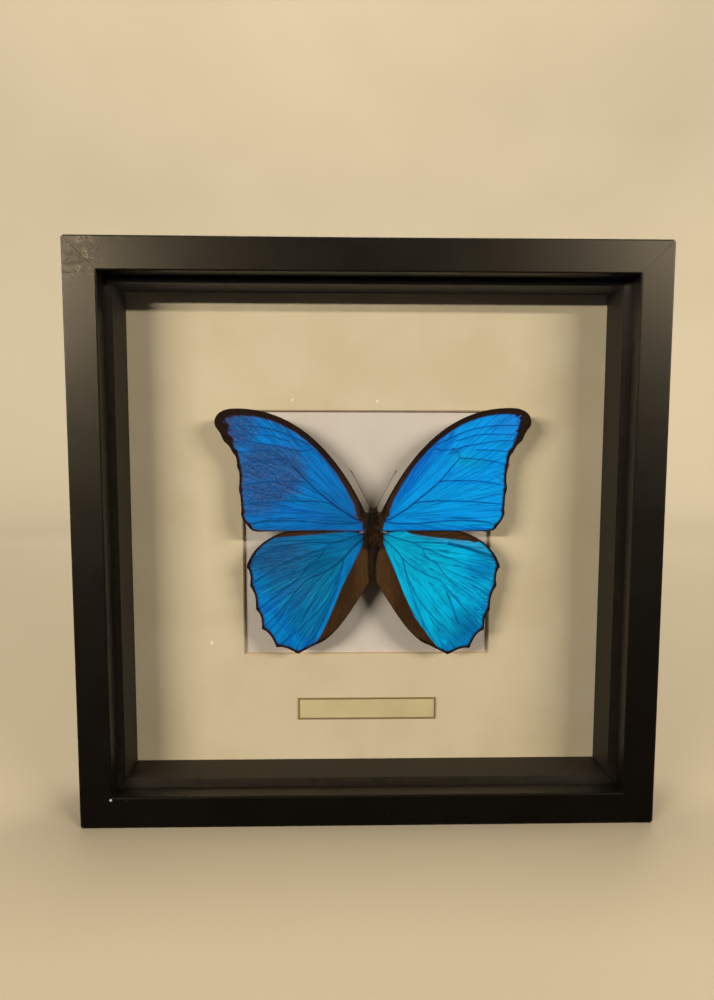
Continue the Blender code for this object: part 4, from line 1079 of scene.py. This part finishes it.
# painted shade: the left hindwing's blues are darker than the right's, for the same viewing angle
left_hind = wing_material("hindwing_left_scales", {
    "base": srgb(0, 120, 182), "base2": srgb(0, 112, 170), "deep": srgb(0, 110, 208),
    "violet": srgb(36, 78, 134), "bright": srgb(0, 138, 224), "cyan": srgb(0, 150, 196),
    "dark": srgb(4, 48, 88), "streak_hi": srgb(0, 148, 212), "streak_lo": srgb(0, 72, 128),
    "rubbed": srgb(58, 84, 130), "halo": srgb(22, 46, 100)}, 0.6, 0.36)
under = underside_material()
vein_bright = vein_material("vein_on_blue", srgb(0, 40, 84), srgb(0, 84, 158))
vein_dull = vein_material("vein_on_dull_blue", srgb(4, 34, 72), srgb(6, 66, 128))
vein_cyan = vein_material("vein_on_cyan", srgb(0, 62, 106), srgb(0, 100, 156))

for kind, side, mats in (("fore", 1, (right_fore, under, vein_bright)), ("fore", -1, (left_fore, under, vein_dull)),
                         ("hind", 1, (right_hind, under, vein_cyan)), ("hind", -1, (left_hind, under, vein_dull))):
    wing = build_wing(kind, side, mats)
    fix_normals(wing)
    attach(wing, "root")
    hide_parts("%swing_%s" % (kind, "right" if side > 0 else "left"))


# ---- body --------------------------------------------------------------------
def body_radius(z):
    head = 1.75 * math.sqrt(max(0.0, 1 - ((z - 10.7) / 1.9) ** 2))
    mid = (9.6 + BODY_WAIST) / 2
    half_len = (9.6 - BODY_WAIST) / 2 + 0.6
    thorax = THORAX_R * max(0.0, 1 - ((z - mid) / half_len) ** 2) ** 0.38
    t = (z - BODY_END) / (BODY_WAIST - BODY_END)
    abdomen = ABDOMEN_R * min(1.0, max(0.0, t) * 4) ** 0.5 if t < 1.2 else 0.0
    return max(head, thorax, abdomen, 0.25)


def body_lean(z):
    """The abdomen has dried a little off line, in mm."""
    return -0.8 * max(0.0, min(1.0, (BODY_WAIST + 1.0 - z) / 4.0))


def chitin(name, a, b, gloss):
    t = Tree(name)
    mm = t.mm()
    n1 = t.noise(mm, 1.6, 5, 0.68)
    col = t.mix(t.smooth(n1, 0.3, 0.7), a, b)
    col = t.mix(t.smooth(t.noise(mm, 6.0, 3), 0.55, 0.75, 0.0, 0.5), col, tuple(min(1, c * 2.2) for c in b))
    n = t.bump(t.noise(mm, 5.0, 4, 0.65), 0.4, 0.00015)
    t.principled(col, t.smooth(n1, 0.3, 0.7, gloss, gloss + 0.2), spec=0.14, normal=n)
    return t.mat


def fur_material():
    t = Tree("body_fur")
    mm = t.mm()
    lock = t.attr("f_tone")
    col = t.mix(lock, srgb(24, 12, 5), srgb(124, 84, 46))
    col = t.mix(t.smooth(t.noise(mm, 1.1, 3), 0.4, 0.7, 0.0, 0.5), col, srgb(58, 36, 20))
    n = t.bump(t.noise(mm, 12.0, 2), 0.2, 0.0001)
    t.principled(col, 0.6, spec=0.12, normal=n)
    return t.mat


def wing_base_material():
    """Silvery tegula plates at the wing bases."""
    t = Tree("tegula_silver")
    mm = t.mm()
    a = t.noise(mm, 2.2, 4, 0.65)
    col = t.mix(t.smooth(a, 0.35, 0.65), srgb(96, 104, 116), srgb(206, 212, 216))
    n = t.bump(a, 0.4, 0.0002)
    t.principled(col, t.smooth(a, 0.3, 0.7, 0.22, 0.4), metallic=0.5, normal=n)
    return t.mat


def build_body():
    rs = np.random.RandomState(5)
    sides, steps = 28, 92
    zs = np.linspace(BODY_TOP, BODY_END, steps + 1)
    verts, faces, mats = [], [], []
    for i, z in enumerate(zs):
        r = body_radius(z) * 0.93
        if z < BODY_WAIST:                    # ring grooves of the abdomen
            r *= 1.0 - 0.10 * (0.5 + 0.5 * math.cos((z - BODY_WAIST) * 2 * math.pi / 2.05)) ** 3
            taper = (z - BODY_END) / (BODY_WAIST - BODY_END)
            r *= 0.80 + 0.20 * math.sin(math.pi * min(1.0, taper * 0.95 + 0.05))
        if abs(z - 9.2) < 0.9:                # neck
            r *= 0.78 + 0.22 * abs(z - 9.2) / 0.9
        for j in range(sides):
            a = 2 * math.pi * j / sides
            lump = 1 + 0.05 * (float(vnoise(z * 1.1, 3 + 2 * math.cos(a), 4)) - 0.5) + 0.05 * math.cos(2 * a)
            verts.append((BODY_X + body_lean(z) + r * lump * math.cos(a), BODY_Y + 1.12 * r * lump * math.sin(a), z))
    for i in range(steps):
        for j in range(sides):
            k = (j + 1) % sides
            faces.append((i * sides + j, i * sides + k, (i + 1) * sides + k, (i + 1) * sides + j))
    faces.append(tuple(reversed(range(sides))))
    faces.append(tuple(steps * sides + j for j in range(sides)))
    mats += [0] * len(faces)
    tone = [0.0] * len(verts)

    def ball(c, rx, ry, rz, mat, nu=14, nv=10, tilt=0.0):
        base = len(verts)
        ct, stt = math.cos(tilt), math.sin(tilt)

        def put(x, y, z):
            verts.append((c[0] + x * ct - z * stt, c[1] + y, c[2] + x * stt + z * ct))

        for i in range(1, nv):
            b = math.pi * i / nv
            for j in range(nu):
                a = 2 * math.pi * j / nu
                put(rx * math.sin(b) * math.cos(a), ry * math.sin(b) * math.sin(a), rz * math.cos(b))
        top, bot = len(verts), len(verts) + 1
        put(0, 0, rz)
        put(0, 0, -rz)
        tone.extend([0.0] * (nu * (nv - 1) + 2))
        count = 0
        for i in range(nv - 2):
            for j in range(nu):
                k = (j + 1) % nu
                faces.append((base + i * nu + j, base + (i + 1) * nu + j, base + (i + 1) * nu + k, base + i * nu + k))
                count += 1
        for j in range(nu):
            k = (j + 1) % nu
            faces.append((top, base + j, base + k))
            faces.append((bot, base + (nv - 2) * nu + k, base + (nv - 2) * nu + j))
            count += 2
        mats.extend([mat] * count)

    for s in (-1, 1):
        ball((BODY_X + s * 1.28, BODY_Y - 0.55, 11.0), 0.72, 0.85, 0.86, 1)          # eyes
        ball((BODY_X + s * 4.9, BODY_Y - 1.15, 1.75), 1.45, 0.22, 0.26, 3, tilt=-s * 0.22)     # tegulae
        ball((BODY_X + s * 4.6, BODY_Y - 1.25, 1.05), 1.15, 0.22, 0.17, 0, tilt=s * 0.18)
        ball((BODY_X + s * 3.35, BODY_Y - 1.45, 2.55), 0.26, 0.26, 0.52, 3, tilt=s * 0.7)
        ball((BODY_X + s * 1.05, BODY_Y - 1.0, 12.35), 0.26, 0.30, 1.25, 1, tilt=-s * 0.16)      # palps

    def strand(p, d, length, r, shade, bend):
        """A three-sided tapering hair in three steps."""
        p, d, bend = np.array(p), np.array(d), np.array(bend)
        base = len(verts)
        up = np.cross(d, (0.3, 0.9, 0.1))
        up /= np.linalg.norm(up) + 1e-9
        sd = np.cross(d, up)
        for i, (t, k) in enumerate(((0, 1.0), (0.5, 0.8))):
            q = p + d * length * t + bend * length * t * t
            for j in range(3):
                a = 2 * math.pi * j / 3
                verts.append(tuple(q + (up * math.cos(a) + sd * math.sin(a)) * r * k))
                tone.append(shade * (0.6 + 0.4 * t))
        q = p + d * length + bend * length
        verts.append(tuple(q))
        tone.append(shade)
        for j in range(3):
            k = (j + 1) % 3
            faces.append((base + j, base + k, base + 3 + k, base + 3 + j))
            faces.append((base + 3 + j, base + 3 + k, base + 6))
        faces.append((base + 2, base + 1, base))
        mats.extend([2] * 7)

    def furry(count, z_lo, z_hi, length, lean, thick):
        for _ in range(count):
            z = rs.uniform(z_lo, z_hi)
            a = rs.uniform(0, 2 * math.pi)
            r = body_radius(z) * 0.9
            out = np.array([math.cos(a), 1.12 * math.sin(a), 0.0])
            p = (BODY_X + body_lean(z) + r * out[0], BODY_Y + r * out[1], z)
            d = out + np.array([rs.normal(0, 0.28), rs.normal(0, 0.28), lean + rs.normal(0, 0.35)])
            d /= np.linalg.norm(d)
            lock = float(vnoise(z * 0.62, 9 + a * 2.1, 7))
            shade = (0.03 + 0.9 * lock ** 3.5 + 0.2 * rs.uniform(0, 1) ** 3) * (0.2 if z > 5.5 else 1.0 if z > -5.0 else 0.3)
            strand(p, d, length * rs.uniform(0.55, 1.25) * (0.8 + 0.5 * lock), thick * rs.uniform(0.7, 1.3), shade,
                   (rs.normal(0, 0.12), rs.normal(0, 0.1), -0.25 if lean < 0 else 0.1))

    furry(3000, -5.0, 9.4, 1.15, -0.9, 0.085)
    furry(600, 9.2, 12.2, 0.6, 0.5, 0.06)
    furry(1300, BODY_END + 0.8, -5.0, 0.42, -1.6, 0.04)
    # tufts that run out over the wing bases
    for s in (-1, 1):
        for _ in range(620):
            z = rs.uniform(-4.0, 9.5)
            p = (BODY_X + s * rs.uniform(1.9, 2.7), BODY_Y - rs.uniform(0.6, 1.9), z)
            d = np.array([s * 1.0, -0.05 + rs.normal(0, 0.12), (z - 2.0) * 0.06 + rs.normal(0, 0.3) - 0.25])
            d /= np.linalg.norm(d)
            strand(p, d, rs.uniform(1.0, 3.4), 0.07, 0.10 + 0.55 * rs.uniform(0, 1) ** 2, (0, rs.normal(0, 0.08), -0.2))
        # palps: two short hairy points in front of the head
        for _ in range(260):
            t = rs.uniform(0, 1)
            p = (BODY_X + s * (0.75 + 0.65 * t) + rs.normal(0, 0.10), BODY_Y - 0.9 - 0.3 * t, 11.2 + 1.5 * t)
            d = np.array([s * 0.25 + rs.normal(0, 0.18), rs.normal(-0.1, 0.2), 1.0])
            d /= np.linalg.norm(d)
            strand(p, d, rs.uniform(0.35, 0.75), 0.055, rs.uniform(0, 0.35), (0, 0, 0))
    mesh = bpy.data.meshes.new("butterfly_body_furred")
    mesh.from_pydata(Wn(np.array(verts)).tolist(), [], faces)
    mesh.polygons.foreach_set("material_index", mats)
    mesh.polygons.foreach_set("use_smooth", [True] * len(faces))
    a = mesh.attributes.new("f_tone", "FLOAT", "POINT")
    a.data.foreach_set("value", np.array(tone, np.float32))
    mesh.update()
    obj = bpy.data.objects.new("butterfly_body_furred", mesh)
    bpy.context.scene.collection.objects.link(obj)
    for m in (chitin("body_chitin", srgb(27, 13, 4), srgb(50, 27, 10), 0.5), chitin("eye_dark", srgb(14, 9, 7), srgb(30, 20, 14), 0.15),
              fur_material(), wing_base_material()):
        mesh.materials.append(m)
    return obj


def build_mitre_filler():
    """Thin painted filler in the four corner joints, set just behind the front face."""
    verts, faces = [], []
    for sx in (-1, 1):
        for sz in (-1, 1):
            base = len(verts)
            for y in (0.06, 5.0):
                for t, side in ((0.9, -1), (0.9, 1), (13.85, 1), (13.85, -1)):
                    # along the diagonal from the outer corner, 0.11 mm to each side of it
                    e = side * 0.11 / math.sqrt(2)
                    x, z = 125.0 - t - e, 125.0 - t + e
                    verts.append((sx * x, y, sz * z))
            quads = [(0, 1, 2, 3), (7, 6, 5, 4), (0, 4, 5, 1), (1, 5, 6, 2), (2, 6, 7, 3), (3, 7, 4, 0)]
            faces += [tuple(base + q for q in f) for f in quads]
    mesh = bpy.data.meshes.new("mitre_filler")
    mesh.from_pydata(Wn(np.array(verts)).tolist(), [], faces)
    mesh.update()
    obj = bpy.data.objects.new("mitre_filler", mesh)
    bpy.context.scene.collection.objects.link(obj)
    mesh.materials.append(bpy.data.materials["satin_black_paint"])
    return obj


filler = build_mitre_filler()
fix_normals(filler)
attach(filler, "root")

mat_obj = build_mat()
fix_normals(mat_obj)
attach(mat_obj, "root")
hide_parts("mat_board")

body = build_body()
fix_normals(body)
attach(body, "root")
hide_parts("butterfly_body")


def build_antenna(side):
    name = "antenna_" + ("right" if side > 0 else "left")
    n = 70
    t = np.linspace(0, 1, n)
    x = ANTENNA_ROOT[0] + (ANTENNA_TIP[0] - ANTENNA_ROOT[0]) * t ** 1.08
    z = ANTENNA_ROOT[1] + (ANTENNA_TIP[1] - ANTENNA_ROOT[1]) * t
    x = np.concatenate([[0.9, 1.2], x])
    z = np.concatenate([[11.4, 12.2], z])
    depth = np.concatenate([[BODY_Y - 1.0, BODY_Y - 1.0], BODY_Y - 1.0 - 0.8 * t])
    tt = np.concatenate([[0, 0], t])
    r = 0.115 * (1 - 0.25 * tt) + 0.13 * smoothstep(tt, 0.84, 0.96) * (1 - 0.7 * smoothstep(tt, 0.97, 1.0))
    r = r * (1 + 0.09 * np.cos(np.arange(len(tt)) * math.pi))      # fine rings
    path = np.stack([BODY_X + side * x, depth, z], 1)
    verts = tube_rings(path, np.tile([0, -1.0, 0], (len(path), 1)), r, 1.0, 8)
    faces = tube_faces(0, len(path), 8)
    mesh = bpy.data.meshes.new(name)
    mesh.from_pydata(Wn(verts).tolist(), [], faces)
    mesh.polygons.foreach_set("use_smooth", [True] * len(faces))
    mesh.update()
    obj = bpy.data.objects.new(name + "_fine", mesh)
    bpy.context.scene.collection.objects.link(obj)
    mesh.materials.append(ANTENNA_MAT)
    fix_normals(obj)
    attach(obj, "root")
    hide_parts(name)


ANTENNA_MAT = chitin("antenna_chitin", srgb(40, 25, 15), srgb(70, 48, 30), 0.4)
build_antenna(-1)
build_antenna(1)


# ---- floor, light and camera ---------------------------------------------------
def build_backdrop():
    """A pale floor that curves up into a round wall."""
    prof = [(0.0, 0.0), (0.3, 0.0), (0.6, 0.0), (0.9, 0.0), (1.1, 0.0)]
    for i in range(1, 25):
        a = math.pi / 2 * i / 24
        prof.append((1.1 + 0.9 * math.sin(a), 0.9 - 0.9 * math.cos(a)))
    prof += [(2.0, 1.5), (2.0, 2.4)]
    verts, faces, n = [(0, 0, 0)], [], 128
    for r, z in prof[1:]:
        for j in range(n):
            a = 2 * math.pi * j / n
            # the wall stands further off beside and in front of the object, behind the lights
            away = float(smoothstep(abs(math.atan2(math.cos(a), math.sin(a))), 0.75, 1.6))
            q = r + 1.6 * away * max(0.0, (r - 1.1) / 0.9)
            verts.append((q * math.cos(a), q * math.sin(a), z if z < 2.0 else z + 2.6 * away))
    for j in range(n):
        faces.append((0, 1 + j, 1 + (j + 1) % n))
    for i in range(len(prof) - 2):
        for j in range(n):
            k = (j + 1) % n
            a, b = 1 + i * n, 1 + (i + 1) * n
            faces.append((a + j, b + j, b + k, a + k))
    mesh = bpy.data.meshes.new("backdrop")
    mesh.from_pydata(verts, [], faces)
    mesh.polygons.foreach_set("use_smooth", [True] * len(faces))
    obj = bpy.data.objects.new("backdrop", mesh)
    bpy.context.scene.collection.objects.link(obj)
    t = Tree("pale_backdrop")
    mm = t.mm()
    x, y, z = t.xyz(mm)
    col = t.mix(t.smooth(t.noise(mm, 0.003, 2), 0.3, 0.7), srgb(207, 192, 162), srgb(211, 196, 166))
    reach = t.m("SQRT", t.m("ADD", t.m("MULTIPLY", x, x), t.m("MULTIPLY", y, y)))
    # painted shade: the floor is darker towards the middle, under the object, against the strong lamp light there
    col = t.mix(t.smooth(reach, 100.0, 1150.0, 1.0, 0.0), col, srgb(194, 178, 148))
    col = t.mix(t.m("MULTIPLY", t.smooth(reach, 700.0, 1200.0), t.smooth(z, 80.0, 700.0, 1.0, 0.0)), col, srgb(209, 194, 164))
    # deeper tone on the floor under the two strips, so that no bright pool shows there
    px, py = t.m("SUBTRACT", t.m("ABSOLUTE", x), 1080.0), t.m("ADD", y, 780.0)
    pool = t.m("SQRT", t.m("ADD", t.m("MULTIPLY", px, px), t.m("MULTIPLY", py, py)))
    col = t.mix(t.smooth(pool, 150.0, 950.0, 0.62, 0.0), col, srgb(104, 92, 72))
    t.principled(col, 0.9, spec=0.1, normal=t.bump(t.noise(mm, 0.5, 4), 0.05, 0.0005))
    mesh.materials.append(t.mat)
    # seen by the camera only: the soft sky lights the object and shows in its gloss
    obj.visible_glossy = False
    obj.visible_diffuse = False
    obj.visible_shadow = False


build_backdrop()


def area(name, at, target, size, power, colour=(1, 1, 1), height=None):
    data = bpy.data.lights.new(name, "AREA")
    data.shape = "DISK" if height is None else "RECTANGLE"
    data.size = size
    if height is not None:
        data.size_y = height
    data.energy = power
    data.color = colour
    obj = bpy.data.objects.new(name, data)
    obj.location = at
    obj.rotation_euler = (Vector(target) - Vector(at)).to_track_quat("-Z", "Y").to_euler()
    bpy.context.scene.collection.objects.link(obj)
    return obj


WARM = (1.0, 0.955, 0.88)
area("strip_left", (-1.00, -1.08, 0.50), (-1.00, 0.0, 0.45), 0.90, 25.0, WARM, 0.045)
area("strip_right", (1.16, -1.08, 0.63), (1.16, 0.0, 0.55), 1.08, 26.0, WARM, 0.045)
area("wall_wash", (0.0, 0.35, 2.3), (0.0, 1.6, 0.3), 0.9, 34.0, WARM)
# these two face away from the object and light only the wall behind the strips
area("wash_front_left", (-0.9, -1.35, 1.1), (-1.76, -1.86, 0.95), 1.2, 24.0, WARM)
area("wash_front_right", (0.9, -1.35, 1.1), (1.76, -1.86, 0.95), 1.2, 24.0, WARM)
area("side_fill", (2.3, 0.40, 0.95), (0.125, 0.0, 0.13), 0.8, 5.0, WARM)
area("back_fill", (0.9, 1.3, 1.5), (0.0, 0.0, 0.1), 0.7, 5.0, WARM)

world = bpy.data.worlds.new("soft_studio")
bpy.context.scene.world = world
world.use_nodes = True
wt = world.node_tree
bg = wt.nodes["Background"]
wc = wt.nodes.new("ShaderNodeTexCoord")
ws = wt.nodes.new("ShaderNodeSeparateXYZ")
wt.links.new(wc.outputs["Generated"], ws.inputs[0])
wr = wt.nodes.new("ShaderNodeMapRange")
wr.interpolation_type = "SMOOTHSTEP"
wt.links.new(ws.outputs[2], wr.inputs["Value"])
for key, val in (("From Min", -0.5), ("From Max", 0.8), ("To Min", 0.010), ("To Max", 0.11)):
    wr.inputs[key].default_value = val
wt.links.new(wr.outputs[0], bg.inputs["Strength"])
bg.inputs["Color"].default_value = (1.0, 0.95, 0.86, 1.0)

cam_data = bpy.data.cameras.new("camera")
cam_data.sensor_width = 36.0
cam_data.lens = 25.495
cam_data.clip_start = 0.01
cam_data.dof.use_dof = False
cam = bpy.data.objects.new("camera", cam_data)
right = Vector((0.99974, -0.0226, 0.0020)).normalized()
ahead = Vector((0.02269, 0.99575, -0.08922)).normalized()
up = right.cross(ahead).normalized()
right = ahead.cross(up).normalized()
cam.matrix_world = Matrix(((right.x, up.x, -ahead.x, -0.0123), (right.y, up.y, -ahead.y, -0.3174),
                           (right.z, up.z, -ahead.z, 0.1693), (0, 0, 0, 1)))
bpy.context.scene.collection.objects.link(cam)
bpy.context.scene.camera = cam
bpy.context.scene.view_settings.view_transform = "Standard"
bpy.context.scene.view_settings.look = "None"
